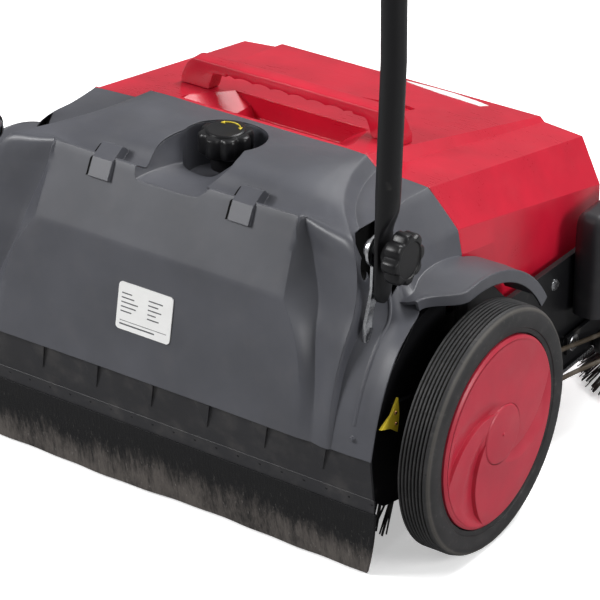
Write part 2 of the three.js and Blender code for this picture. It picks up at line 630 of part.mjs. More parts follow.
function handleLeg() {
  const steps = 12;
  const ring = (x, z, halfX, halfY) => Array.from({ length: steps }, (_, k) => {
    const a = 2 * Math.PI * k / steps + Math.PI / steps;
    return [x + halfX * Math.cos(a), PIVOT_Y + halfY * Math.sin(a), z];
  });
  const flatX = 235.5;
  const sections = [ring(flatX, 300, 3.6, 13.5), ring(flatX, 350, 3.6, 13.5),
    ring(239.5, 385, 11.3, 11.8), ring(243.5, 520, 11.8, 11.8),
    ring(LEG_TOP_X, LEG_TOP_Z, TUBE_RADIUS, TUBE_RADIUS)];
  const flat = sections[0].map(([x, y]) => [x, y]);
  const foot = prismX([[-93, PIVOT_Z], [-93, 287], [-89, 279], [-80, 276.5], [-73, 281],
    [-68, 290], [-67, PIVOT_Z]], 233.5, 239);
  return cut(join(loft(sections, flat), foot), rodX(4.3, 225, 245, PIVOT_Y, PIVOT_Z, 16));
}
addPair('handle_leg', handleLeg(), MATERIALS.blackSteel);

function handleBar() {
  const bottom = LEG_TOP_Z + 2;
  const top = HANDLE_TOP_Z;
  const corner = 55;
  const side = (s) => [[LEG_TOP_X * s, bottom], [232 * s, top - corner - 6]];
  const right = side(1).map(([x, z]) => [x, PIVOT_Y, z]);
  const left = side(-1).map(([x, z]) => [x, PIVOT_Y, z]).reverse();
  const bend = (s) => [[228 * s, PIVOT_Y, top - 26], [206 * s, PIVOT_Y, top - 4]];
  return tube([...right, ...bend(1), [180, PIVOT_Y, top], [-180, PIVOT_Y, top],
    ...bend(-1).reverse(), ...left], TUBE_RADIUS, 22, 6);
}
add('handle_bar', handleBar(), MATERIALS.blackSteel);

function handleGrip() {
  const body = rodX(17, -150, 150, PIVOT_Y, HANDLE_TOP_Z, 20);
  return cut(body, rodX(TUBE_RADIUS + GAP, -160, 160, PIVOT_Y, HANDLE_TOP_Z, 24));
}
add('handle_grip', handleGrip(), MATERIALS.foam);

function handleCoupler() {
  const radius = TUBE_RADIUS + 0.6;
  return cut(rodZ(16.5, LEG_TOP_X, PIVOT_Y, 612, 668, 20),
    rodZ(radius + 1, LEG_TOP_X, PIVOT_Y, 600, 680, 24));
}
addPair('handle_coupler', handleCoupler(), MATERIALS.blackPlastic);

// Carriage bolt through bracket and leg, and the star knob that clamps them.
addPair('pivot_bolt', turnedX([[0, 218], [7, 219], [11, 223], [11, 225.2], [4, 225.2], [4, 258],
  [0, 258]], PIVOT_Y, PIVOT_Z, 16), MATERIALS.brightSteel);

function starKnob() {
  const head = prismX(lobedOutline(8, 23.5, 2, 48), 248, 265).translate(0, PIVOT_Y, PIVOT_Z);
  const neck = rodX(10, 239.3, 249, PIVOT_Y, PIVOT_Z, 20);
  return cut(join(head, neck), rodX(4 + GAP, 235, 259, PIVOT_Y, PIVOT_Z, 16));
}
addPair('star_knob', starKnob(), MATERIALS.blackPlastic);

// ---- Side brooms --------------------------------------------------------------------------
const ARM_PLATE_X = 257;

function sideArm() {
  const bar = prismX([[ARM_PIVOT.y - 12, ARM_PIVOT.z - 10], [340, 84], [400, 84], [400, 90],
    [352, 90], [340, 106], [ARM_PIVOT.y - 12, ARM_PIVOT.z + 10]], ARM_PLATE_X, ARM_PLATE_X + 4);
  const shelf = box(ARM_PLATE_X, SIDE_BROOM.x + 26, SIDE_BROOM.y - 26, SIDE_BROOM.y + 30, 84, 90);
  return cut(join(bar, shelf), rodX(5.3, 250, 270, ARM_PIVOT.y, ARM_PIVOT.z, 16),
    rodZ(8.3, SIDE_BROOM.x, SIDE_BROOM.y, 80, 95, 20));
}
addPair('side_arm', sideArm(), MATERIALS.blackSteel);
addPair('arm_pin', turnedX([[0, 252.3], [5, 252.3], [5, 261.3], [9, 261.3], [9, 263], [0, 263]],
  ARM_PIVOT.y, ARM_PIVOT.z, 16), MATERIALS.brightSteel);

// Rounded guard over the belt's run to the side broom, fixed to the outer face of the frame.
const GUARD = { x: 271.5, y: 283, halfX: 19, halfY: 46, corner: 15, wall: 3, foot: 128 };

function guardSection(z, inset) {
  const radius = Math.max(GUARD.corner - inset, 4);
  const points = [];
  for (const [sx, sy, start] of [[1, 1, 0], [-1, 1, 90], [-1, -1, 180], [1, -1, 270]]) {
    for (const step of [0, 30, 60, 90]) {
      const a = THREE.MathUtils.degToRad(start + step);
      const cx = GUARD.x + sx * (GUARD.halfX - inset - radius);
      const cy = GUARD.y + sy * (GUARD.halfY - inset - radius);
      points.push([cx + radius * Math.cos(a), cy + radius * Math.sin(a), z]);
    }
  }
  return points;
}

function sideCover() {
  const rise = [[GUARD.foot, 0], [224, 0], [233, 2], [239, 7], [241, 13]];
  const outer = rise.map(([z, inset]) => guardSection(z, inset));
  const inner = rise.map(([z, inset]) => guardSection(z - GUARD.wall, inset + GUARD.wall));
  const flat = outer[0].map(([x, y]) => [x, y]);
  return cut(loft(outer, flat), loft(inner, flat));
}
addPair('side_cover', sideCover(), MATERIALS.coverPlastic);

function sideDisc() {
  return turnedZ([[0, 44], [55, 44], [55, 56], [24, 57], [24, 60], [18, 64], [18, 68],
    [24, 72], [24, 74], [8, 74], [8, 104], [0, 104]], SIDE_BROOM.x, SIDE_BROOM.y, 20);
}
addPair('side_disc', sideDisc(), MATERIALS.blackPlastic);

function sideBristles() {
  return turnedZ([[34, 43.7], [54, 43.7], [SIDE_BROOM.radius, 4], [SIDE_BROOM.radius - 12, 3],
    [34, 43.7]], SIDE_BROOM.x, SIDE_BROOM.y, 24);
}
addPair('side_bristles', sideBristles(), MATERIALS.bristle);

// Round belt: half round the pulley on the wheel, then twisted down to the side broom's pulley.
function driveBelt() {
  const wheelRadius = BELT_DRIVE_RADIUS + 3.8;
  const points = [];
  for (let a = -90; a >= -270; a -= 30) {
    const t = THREE.MathUtils.degToRad(a);
    points.push([BELT_X, wheelRadius * Math.cos(t), AXLE_Z + wheelRadius * Math.sin(t)]);
  }
  const front = 22.8;
  points.push([BELT_X + 1, 170, 113]);
  for (let a = 190; a >= -10; a -= 40) {
    const t = THREE.MathUtils.degToRad(a);
    points.push([SIDE_BROOM.x + front * Math.cos(t), SIDE_BROOM.y + front * Math.sin(t), 66]);
  }
  points.push([BELT_X + 9, 200, 78]);
  return closedCord(points, 2.6, 56, 6);
}
addPair('drive_belt', driveBelt(), MATERIALS.flapRubber);

// ---- Front casters ------------------------------------------------------------------------
function casterFork() {
  const plate = rodZ(22, CASTER.x, CASTER.y, CASTER.plateZ - 5, CASTER.plateZ, 24);
  const cheek = (x0, x1) => prismX([[CASTER.y - 20, CASTER.plateZ - 4],
    [CASTER.y + 20, CASTER.plateZ - 4], [CASTER.y + 4, 60],
    [CASTER.y - CASTER.trail + 8, CASTER.radius - 8], [CASTER.y - CASTER.trail - 8,
      CASTER.radius - 8]], x0, x1);
  const pin = rodX(4, CASTER.x - 14, CASTER.x + 14, CASTER.y - CASTER.trail, CASTER.radius, 16);
  return join(plate, cheek(CASTER.x - 15, CASTER.x - 12), cheek(CASTER.x + 12, CASTER.x + 15), pin);
}
addPair('caster_fork', casterFork(), MATERIALS.brightSteel);

function casterWheel() {
  const r = CASTER.radius;
  return turnedX([[4.3, 64.5], [14, 64.5], [r - 5, 66], [r, 70], [r, 80], [r - 5, 84],
    [14, 85.5], [4.3, 85.5], [4.3, 64.5]], CASTER.y - CASTER.trail, r, 20);
}
addPair('caster_wheel', casterWheel(), MATERIALS.blackPlastic);

// ---- Bumper rollers -----------------------------------------------------------------------
const ROLLER = { y: 306, z: 67, radius: 15 };

function bumperRoller() {
  const { radius } = ROLLER;
  return turnedX([[0, 252.3], [6, 252.3], [6, 253.5], [radius, 254.5], [radius, 264], [12, 265.5],
    [0, 265.5]], ROLLER.y, ROLLER.z, 18);
}
addPair('frame_roller', bumperRoller(), MATERIALS.blackPlastic);

// ---- Rubber flap --------------------------------------------------------------------------
function rubberFlap() {
  const section = (x) => {
    const wave = 2.5 * Math.sin(x / 70) + 1.5 * Math.sin(x / 31);
    const foot = -113 + wave;
    return [[x, -124.8, 78.5], [x, -119, 40], [x, foot - 1.5, 3], [x, foot + 1.5, 3],
      [x, -116, 40], [x, -121.8, 78.5]];
  };
  const sections = [];
  for (let k = 0; k <= 16; k += 1) {
    sections.push(section(-260 + 520 * k / 16));
  }
  return loft(sections, section(0).map(([, y, z]) => [y, z]));
}
add('rubber_flap', rubberFlap(), MATERIALS.flapRubber);

const FRONT_Y = SIDE_BROOM.y + SIDE_BROOM.radius;
group.position.y = -(REAR_Y + FRONT_Y) / 2;

export default group;
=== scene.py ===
"""Looks of a walk-behind sweeper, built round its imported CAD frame.

Shapes are drawn in millimetres from a point on the floor below the middle of the wheel axle,
+X to the operator's right, +Y forwards and +Z up, and turned into metres in the frame's own
axes when a piece is made. The right half is drawn and mirrored where the machine is alike.
"""

import random
from math import copysign, cos, pi, radians, sin, sqrt

import bmesh
import bpy
from mathutils import Matrix, Vector


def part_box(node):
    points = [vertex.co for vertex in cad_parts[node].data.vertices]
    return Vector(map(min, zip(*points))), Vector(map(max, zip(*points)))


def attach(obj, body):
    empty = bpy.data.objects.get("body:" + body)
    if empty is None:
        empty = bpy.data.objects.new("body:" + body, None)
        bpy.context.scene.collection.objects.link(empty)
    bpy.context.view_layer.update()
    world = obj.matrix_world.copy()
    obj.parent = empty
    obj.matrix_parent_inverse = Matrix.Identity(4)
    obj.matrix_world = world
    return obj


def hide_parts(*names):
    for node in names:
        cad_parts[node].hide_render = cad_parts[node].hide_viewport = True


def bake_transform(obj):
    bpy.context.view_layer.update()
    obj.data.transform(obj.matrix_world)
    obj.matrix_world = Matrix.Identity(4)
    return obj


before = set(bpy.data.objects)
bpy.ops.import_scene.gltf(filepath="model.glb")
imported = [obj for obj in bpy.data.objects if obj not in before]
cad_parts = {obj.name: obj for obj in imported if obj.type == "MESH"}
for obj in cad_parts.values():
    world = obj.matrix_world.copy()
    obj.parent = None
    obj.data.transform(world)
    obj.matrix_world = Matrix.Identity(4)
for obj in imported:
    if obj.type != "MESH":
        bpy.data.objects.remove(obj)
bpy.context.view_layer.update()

MM = 0.001
SIDES = ("right", "left")


def middle(node):
    low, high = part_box(node)
    return (low + high) / 2 / MM


def size(node):
    low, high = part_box(node)
    return (high - low) / MM


# ---- Driving dimensions, from the frame ---------------------------------------------------
ORIGIN_Y = middle("axle_right").y * MM
AXLE_Z = middle("axle_right").z
WHEEL_RADIUS = size("tyre_right").z / 2
WHEEL_MIDDLE_X = middle("tyre_right").x
WHEEL_WIDTH = size("tyre_right").x
HUB_RADIUS = size("hub_cap_right").z / 2
PIVOT_Y = middle("pivot_bolt_right").y - ORIGIN_Y / MM
PIVOT_Z = middle("pivot_bolt_right").z
HANDLE_TOP_Z = middle("handle_grip").z
TUBE_RADIUS = size("handle_bar").y / 2
BROOM_Y = middle("broom_core").y - ORIGIN_Y / MM
BROOM_Z = middle("broom_core").z
BROOM_RADIUS = size("broom_bristles").z / 2
SIDE_BROOM_X = middle("side_disc_right").x
SIDE_BROOM_Y = middle("side_disc_right").y - ORIGIN_Y / MM
SIDE_BROOM_RADIUS = size("side_bristles_right").x / 2
CASTER_X = middle("caster_wheel_right").x
CASTER_WHEEL_Y = middle("caster_wheel_right").y - ORIGIN_Y / MM
CASTER_RADIUS = size("caster_wheel_right").z / 2
ROLLER_Y = middle("frame_roller_right").y - ORIGIN_Y / MM
ROLLER_Z = middle("frame_roller_right").z
SEAM_Y = 50


# ---- Node materials -----------------------------------------------------------------------
class Signal:
    """A socket's value in a node material, with the sums that a formula needs."""

    def __init__(self, look, socket):
        self.look = look
        self.socket = socket

    def __add__(self, other):
        return self.look.math("ADD", self, other)

    def __sub__(self, other):
        return self.look.math("SUBTRACT", self, other)

    def __mul__(self, other):
        return self.look.math("MULTIPLY", self, other)


class Look:
    """The nodes of a new material or world, with short calls to add them."""

    def __init__(self, owner):
        owner.use_nodes = True
        self.owner = owner
        self.tree = owner.node_tree

    @property
    def place(self):
        return self.node("ShaderNodeTexCoord", "Object")

    def feed(self, socket, value):
        if isinstance(value, Signal):
            self.tree.links.new(value.socket, socket)
        elif socket.type == "RGBA":
            socket.default_value = (*value, 1.0)
        else:
            socket.default_value = value

    def node(self, kind, output, inputs=None, **settings):
        """Adds a node, feeds its inputs and gives one of its outputs."""
        node = self.tree.nodes.new(kind)
        for key, value in settings.items():
            setattr(node, key, value)
        for key, value in (inputs or {}).items():
            self.feed(node.inputs[key], value)
        return Signal(self, node.outputs[output])

    def math(self, operation, a, b=0.0):
        return self.node("ShaderNodeMath", 0, {0: a, 1: b}, operation=operation)

    def stretched(self, x, y, z):
        return self.node("ShaderNodeMapping", 0, {"Vector": self.place, "Scale": (x, y, z)})

    def noise(self, scale, detail=3.0, vector=None, roughness=0.55):
        inputs = {"Vector": vector or self.place, "Scale": scale, "Detail": detail,
            "Roughness": roughness}
        return self.node("ShaderNodeTexNoise", "Fac", inputs)

    def band(self, value, low, high):
        """Value mapped from low..high to 0..1, smoothly."""
        inputs = {"Value": value, "From Min": low, "From Max": high}
        return self.node("ShaderNodeMapRange", 0, inputs, interpolation_type="SMOOTHSTEP")

    def mix(self, share, first, second):
        return self.node("ShaderNodeMix", 2, {0: share, 6: first, 7: second}, data_type="RGBA")

    def axis(self, letter):
        return self.node("ShaderNodeSeparateXYZ", letter, {"Vector": self.place})

    def rounded(self, radius_mm):
        """Normals rounded over sharp edges, as a moulded or painted edge is."""
        return self.node("ShaderNodeBevel", 0, {"Radius": radius_mm * MM}, samples=4)

    def bump(self, height, depth_mm, below=None):
        inputs = {"Height": height, "Distance": depth_mm * MM}
        if below:
            inputs["Normal"] = below
        return self.node("ShaderNodeBump", 0, inputs)

    def finish(self, color, roughness, normal, specular=0.5, **others):
        inputs = {"Base Color": color, "Roughness": roughness, "Normal": normal,
            "Specular IOR Level": specular, **others}
        for key, value in inputs.items():
            self.feed(self.tree.nodes["Principled BSDF"].inputs[key], value)
        return self.owner


def shade(color, factor):
    return tuple(c * factor for c in color)


def moulded(name, color, roughness, grain_mm=0.6, grain_depth=0.03, dust=0.12, edge=1.2, specular=0.5):
    """Moulded plastic: fine grain, slow colour and gloss variation and a little dust."""
    look = Look(bpy.data.materials.new(name))
    cloud = look.noise(14.0, 4.0)
    tone = look.mix(look.band(cloud, 0.3, 0.7), shade(color, 0.9), shade(color, 1.1))
    specks = look.band(look.noise(900.0, 2.0), 0.66, 0.8)
    film = look.band(look.noise(38.0, 6.0), 0.45, 0.8)
    tone = look.mix(film * dust + specks * (dust * 0.6), tone, (0.34, 0.31, 0.28))
    grain = look.noise(1000.0 / grain_mm, 2.0)
    scratches = look.noise(60.0, 5.0, look.stretched(1.0, 9.0, 9.0))
    gloss = scratches * 0.12 + cloud * 0.1 + (roughness - 0.11)
    return look.finish(tone, gloss, look.bump(grain, grain_depth, look.rounded(edge)), specular)


def powder_coat(name, color, roughness=0.42):
    """Baked paint with a fine orange peel, worn grey in places."""
    look = Look(bpy.data.materials.new(name))
    wear = look.band(look.noise(30.0, 7.0), 0.62, 0.74)
    tone = look.mix(wear * 0.25, color, (0.16, 0.15, 0.14))
    gloss = look.noise(25.0, 4.0) * 0.18 + (roughness - 0.09)
    return look.finish(tone, gloss, look.bump(look.noise(650.0, 2.0), 0.05, look.rounded(0.8)), 0.3)


def zinc(name, color):
    """Plated metal: spangled colour and drawn lines."""
    look = Look(bpy.data.materials.new(name))
    spangle = look.noise(220.0, 3.0)
    drawn = look.noise(90.0, 5.0, look.stretched(9.0, 9.0, 1.0))
    tone = look.mix(look.band(spangle, 0.3, 0.7), shade(color, 0.82), color)
    normal = look.bump(drawn, 0.02, look.rounded(0.6))
    return look.finish(tone, drawn * 0.22 + 0.16, normal, Metallic=1.0)


def tyre_rubber(name):
    """Grey-black rubber with fine cross cuts on the tread and dust in its grooves."""
    look = Look(bpy.data.materials.new(name))
    cuts = 28
    cut_width = 0.022
    y = look.axis("Y") - ORIGIN_Y
    z = look.axis("Z") - AXLE_Z * MM
    radius = look.math("SQRT", y * y + z * z)
    phase = look.math("FRACT", look.math("ARCTAN2", z, y) * (cuts / (2 * pi)))
    line = look.math("LESS_THAN", look.math("ABSOLUTE", phase - 0.5), cut_width)
    cut = line * look.band(radius, (WHEEL_RADIUS - 2.2) * MM, (WHEEL_RADIUS - 1.6) * MM)
    cloud = look.noise(40.0, 6.0)
    tone = look.mix(look.band(cloud, 0.35, 0.7), (0.013, 0.013, 0.014), (0.026, 0.025, 0.026))
    in_groove = look.band(radius, (WHEEL_RADIUS - 1.4) * MM, (WHEEL_RADIUS - 2.6) * MM)
    outer_zone = look.band(radius, (WHEEL_RADIUS - 6) * MM, (WHEEL_RADIUS - 4) * MM)
    tone = look.mix(in_groove * outer_zone * 0.16, tone, (0.30, 0.27, 0.23))
    tone = look.mix(cut * 0.8, tone, (0.012, 0.012, 0.012))
    scuff = look.band(look.noise(160.0, 6.0), 0.56, 0.75)
    tone = look.mix(scuff * 0.16, tone, (0.15, 0.145, 0.135))
    height = look.noise(1400.0, 2.0) * 0.12 - cut
    return look.finish(tone, cloud * 0.2 + 0.52, look.bump(height, 0.5, look.rounded(0.6)))


def flap_rubber(name):
    """Worn rubber sheet: black, with scratched brown-grey dust in streaks towards the floor."""
    look = Look(bpy.data.materials.new(name))
    streaks = look.noise(70.0, 8.0, look.stretched(1.0, 1.0, 0.13), 0.7)
    fine = look.noise(420.0, 6.0, look.stretched(1.0, 1.0, 0.12), 0.75)
    low = look.band(look.axis("Z"), 0.085, 0.008)
    amount = streaks * 0.5 + fine * 0.5 + look.noise(13.0, 5.0) * 0.4
    dusty = look.band(amount + low * 0.46 - 0.92, 0.0, 0.34)
    tone = look.mix(dusty, (0.008, 0.008, 0.009), (0.135, 0.120, 0.110))
    pale = look.band(look.noise(520.0, 4.0, look.stretched(1.0, 1.0, 0.3)), 0.60, 0.74)
    tone = look.mix(pale * low * 0.4, tone, (0.34, 0.32, 0.30))
    normal = look.bump(amount + fine, 0.35, look.rounded(0.8))
    return look.finish(tone, dusty * 0.3 + 0.5, normal, 0.3)


def bristle_nylon(name, color):
    """Nylon strands, paler in clouds where they are worn."""
    look = Look(bpy.data.materials.new(name))
    strand = look.noise(500.0, 3.0, look.stretched(1.0, 1.0, 0.4))
    tip = look.band(look.noise(60.0, 4.0), 0.4, 0.75)
    tone = look.mix(tip * 0.35, color, (0.20, 0.18, 0.15))
    return look.finish(tone, strand * 0.3 + 0.35, look.bump(strand, 0.1))


def foam(name):
    """Matt foam with small open cells."""
    look = Look(bpy.data.materials.new(name))
    cells = look.node("ShaderNodeTexVoronoi", "Distance", {"Vector": look.place, "Scale": 900.0})
    tone = look.mix(look.noise(120.0, 3.0), (0.008, 0.008, 0.008), (0.03, 0.03, 0.03))
    return look.finish(tone, 0.92, look.bump(cells, 0.35))


def printed_label(name):
    look = Look(bpy.data.materials.new(name))
    tone = look.mix(look.noise(60.0, 4.0), (0.80, 0.80, 0.79), (0.90, 0.90, 0.89))
    normal = look.bump(look.noise(400.0), 0.02, look.rounded(0.4))
    return look.finish(tone, look.noise(20.0) * 0.15 + 0.25, normal)


def pale_floor(name):
    """Pale matt floor that the camera sees nearly white and that bounces less light up."""
    look = Look(bpy.data.materials.new(name))
    seen = look.node("ShaderNodeLightPath", "Is Camera Ray")
    near = look.mix(look.noise(3.0, 4.0), (0.94, 0.94, 0.94), (0.97, 0.97, 0.97))
    glow = {"Emission Color": look.mix(seen, (0.0, 0.0, 0.0), (0.42, 0.42, 0.42)),
        "Emission Strength": 1.0}
    return look.finish(look.mix(seen, (0.30, 0.30, 0.30), near), 0.8, look.bump(look.noise(300.0), 0.05),
        **glow)


COVER = moulded("cover_plastic_look", (0.070, 0.072, 0.084), 0.40, dust=0.03, edge=1.2)
APRON = moulded("apron_plastic_look", (0.020, 0.020, 0.023), 0.5, dust=0.1, edge=0.8)
GUARD = moulded("guard_plastic_look", (0.016, 0.016, 0.019), 0.42, dust=0.04, edge=1.2)
# Near-black painted shade, laid inside the cover's openings and beside its catches where only shade falls.
SHADOW = moulded("painted_recess_shade_look", (0.004, 0.004, 0.004), 0.8, dust=0.0, edge=0.3, specular=0.1)
HOPPER = moulded("hopper_plastic_look", (0.50, 0.008, 0.028), 0.30, dust=0.02, edge=1.2, grain_depth=0.02)
HUB = moulded("hub_plastic_look", (0.46, 0.020, 0.044), 0.40, dust=0.06, edge=0.8)
BLACK = moulded("black_plastic_look", (0.006, 0.006, 0.007), 0.36, dust=0.02, edge=1.0, specular=0.32)
NYLON = moulded("nylon_look", (0.045, 0.045, 0.05), 0.5, dust=0.2, edge=0.5)
YELLOW = moulded("yellow_plastic_look", (0.72, 0.55, 0.03), 0.45, dust=0.12, edge=0.5)
STEEL = powder_coat("black_steel_look", (0.006, 0.006, 0.007))
DARK_ZINC = powder_coat("dark_zinc_look", (0.006, 0.006, 0.007))
ZINC = zinc("zinc_look", (0.62, 0.63, 0.65))
BRONZE = zinc("bronze_look", (0.42, 0.20, 0.10))
TYRE = tyre_rubber("tyre_look")
FLAP = flap_rubber("flap_look")
BELT = bristle_nylon("belt_look", (0.05, 0.035, 0.02))
BRISTLE = bristle_nylon("bristle_look", (0.012, 0.012, 0.015))
FOAM = foam("foam_look")
LABEL = printed_label("label_look")
INK = moulded("ink_look", (0.10, 0.10, 0.11), 0.4, dust=0.0, edge=0.1)


# ---- Solids as (points, faces) in millimetres ---------------------------------------------
def merge(*solids):
    points, faces = [], []
    for more_points, more_faces in solids:
        start = len(points)
        points += more_points
        faces += [[i + start for i in face] for face in more_faces]
    return points, faces


def mirror(solid):
    points, faces = solid
    return [(-x, y, z) for x, y, z in points], [face[::-1] for face in faces]


def moved(solid, dx=0.0, dy=0.0, dz=0.0):
    points, faces = solid
    return [(x + dx, y + dy, z + dz) for x, y, z in points], faces


def turned(solid, angle, axis, centre):
    matrix = Matrix.Rotation(radians(angle), 3, axis)
    centre = Vector(centre)
    points = [tuple(matrix @ (Vector(p) - centre) + centre) for p in solid[0]]
    return points, solid[1]


def loft(sections, ends=True, ring=False):
    """Closed sections of equal count skinned in a row; ring joins the last to the first."""
    count = len(sections[0])
    points = [tuple(p) for section in sections for p in section]
    faces = []
    for s in range(len(sections) - (0 if ring else 1)):
        here = s * count
        there = (s + 1) % len(sections) * count
        for k in range(count):
            n = (k + 1) % count
            faces.append([here + k, here + n, there + n, there + k])
    if ends and not ring:
        faces.append(list(range(count))[::-1])
        faces.append(list(range(len(points) - count, len(points))))
    return points, faces


def prism_x(outline, x0, x1):
    return loft([[(x, y, z) for y, z in outline] for x in (x0, x1)])


def prism_y(outline, y0, y1):
    return loft([[(x, y, z) for x, z in outline] for y in (y0, y1)])


def prism_z(outline, z0, z1):
    return loft([[(x, y, z) for x, y in outline] for z in (z0, z1)])


def block(x0, x1, y0, y1, z0, z1):
    return prism_z([(x0, y0), (x1, y0), (x1, y1), (x0, y1)], z0, z1)


def smooth_step(value, low, high):
    """Eases from 0 at low to 1 at high; low may be the larger of the two."""
    t = min(max((value - low) / (high - low), 0.0), 1.0)
    return t * t * (3 - 2 * t)


def around(a, b, radius, sides=32, start=0.0, stop=360.0):
    """Points of a circle or arc in two coordinates."""
    whole = abs(stop - start) >= 360
    steps = sides if whole else sides + 1
    span = (stop - start) / sides
    return [(a + radius * cos(radians(start + span * k)), b + radius * sin(radians(start + span * k)))
        for k in range(steps)]


def turns(count):
    """Equal steps of angle round a full circle."""
    return [2 * pi * k / count for k in range(count)]


def lathe_x(profile, y, z, sides=96):
    """A closed profile of (radius, x) turned about a line along X."""
    return loft([[(x, y + r * cos(a), z + r * sin(a)) for r, x in profile] for a in turns(sides)],
        ring=True)


def lathe_z(profile, x, y, sides=96):
    """A closed profile of (radius, z) turned about a line along Z."""
    return loft([[(x + r * cos(a), y + r * sin(a), z) for r, z in profile] for a in turns(sides)],
        ring=True)


def rod(start, end, radius, sides=24, tip=None):
    """A straight round bar, tapering to tip where that is given."""
    a, b = Vector(start), Vector(end)
    along = (b - a).normalized()
    side = along.cross(Vector((0, 0, 1)) if abs(along.z) < 0.9 else Vector((1, 0, 0))).normalized()
    up = along.cross(side)
    sections = []
    for centre, r in ((a, radius), (b, radius if tip is None else tip)):
        sections.append([tuple(centre + side * u + up * v) for u, v in around(0, 0, r, sides)])
    return loft(sections)


def sweep(path, outline, normal=(1, 0, 0), ring=False):
    """An outline of (side, up) pairs carried along a path; side keeps close to normal."""
    path = [Vector(p) for p in path]
    sections = []
    for k, centre in enumerate(path):
        before = path[k - 1] if k or ring else centre
        after = path[(k + 1) % len(path)] if k + 1 < len(path) or ring else centre
        along = (after - before).normalized()
        side = (Vector(normal) - along * along.dot(Vector(normal))).normalized()
        up = along.cross(side)
        sections.append([tuple(centre + side * u + up * v) for u, v in outline])
    return loft(sections, ring=ring)


def curve_through(points, steps, ring=False):
    """A smooth row of points through the given ones."""
    points = [Vector(p) for p in points]
    count = len(points)
    rows = []
    for k in range(count if ring else count - 1):
        a, b, c, d = [points[(k + i) % count if ring else min(max(k + i, 0), count - 1)] for i in (-1, 0,
            1, 2)]
        for s in range(steps):
            t = s / steps
            rows.append(b + (c - a) * t / 2 + (2 * a - 5 * b + 4 * c - d) * t ** 2 / 2
                + (3 * b - a - 3 * c + d) * t ** 3 / 2)
    return rows if ring else [*rows, points[-1]]


def bare_object(solid):
    mesh = bpy.data.meshes.new("work")
    mesh.from_pydata([tuple(p) for p in solid[0]], [], solid[1])
    work = bmesh.new()
    work.from_mesh(mesh)
    bmesh.ops.remove_doubles(work, verts=work.verts, dist=1e-4)
    bmesh.ops.recalc_face_normals(work, faces=work.faces)
    work.to_mesh(mesh)
    work.free()
    made = bpy.data.objects.new("work", mesh)
    bpy.context.scene.collection.objects.link(made)
    return made


def carve(solid, joins=(), cuts=(), keeps=()):
    """The solid joined with some solids, cut by others and kept only inside the last ones."""
    base = bare_object(solid)
    helpers = []
    for operation, tools in (("UNION", joins), ("DIFFERENCE", cuts), ("INTERSECT", keeps)):
        for tool in tools:
            helper = bare_object(tool)
            modifier = base.modifiers.new("carve", "BOOLEAN")
            modifier.operation = operation
            modifier.object = helper
            modifier.solver = "EXACT"
            helpers.append(helper)
    bpy.context.view_layer.update()
    mesh = base.evaluated_get(bpy.context.evaluated_depsgraph_get()).to_mesh()
    points = [tuple(v.co) for v in mesh.vertices]
    faces = [list(p.vertices) for p in mesh.polygons]
    for spent in [base, *helpers]:
        bpy.data.objects.remove(spent)
    return points, faces


# ---- Pieces -------------------------------------------------------------------------------
def piece(name, solid, material, body, stands_for=(), bevel=0.0, sharp=32.0):
    """Makes a solid into a shown object that rides on a body, if one is given."""
    made = bare_object(solid)
    made.name = name
    mesh = made.data
    mesh.name = name
    mesh.transform(Matrix.Translation((0, ORIGIN_Y, 0)) @ Matrix.Scale(MM, 4))
    mesh.materials.append(material)
    mesh.shade_smooth()
    mesh.set_sharp_from_angle(angle=radians(sharp))
    if bevel:
        modifier = made.modifiers.new("soft_edges", "BEVEL")
        modifier.width = bevel * MM
        modifier.segments = 3
        modifier.limit_method = "ANGLE"
        modifier.angle_limit = radians(sharp)
        modifier.harden_normals = True
    if body:
        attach(made, body)
    if stands_for:
        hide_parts(*stands_for)
    return made


def pair(name, solid, material, body, stands_for=None, **options):
    """A right piece and its mirror image; SIDE in a body's or node's name is right or left."""
    for side, half in zip(SIDES, (solid, mirror(solid))):
        nodes = [stands_for.replace("SIDE", side)] if stands_for else []
        piece(f"{name}_{side}", half, material, body.replace("SIDE", side), nodes, **options)


def repaint(material, *nodes):
    """Gives carried-over CAD nodes a material with rounded edges."""
    for name in nodes:
        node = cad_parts[name]
        node.data.materials.clear()
        node.data.materials.append(material)


def both(*names):
    return [f"{name}_{side}" for name in names for side in SIDES]


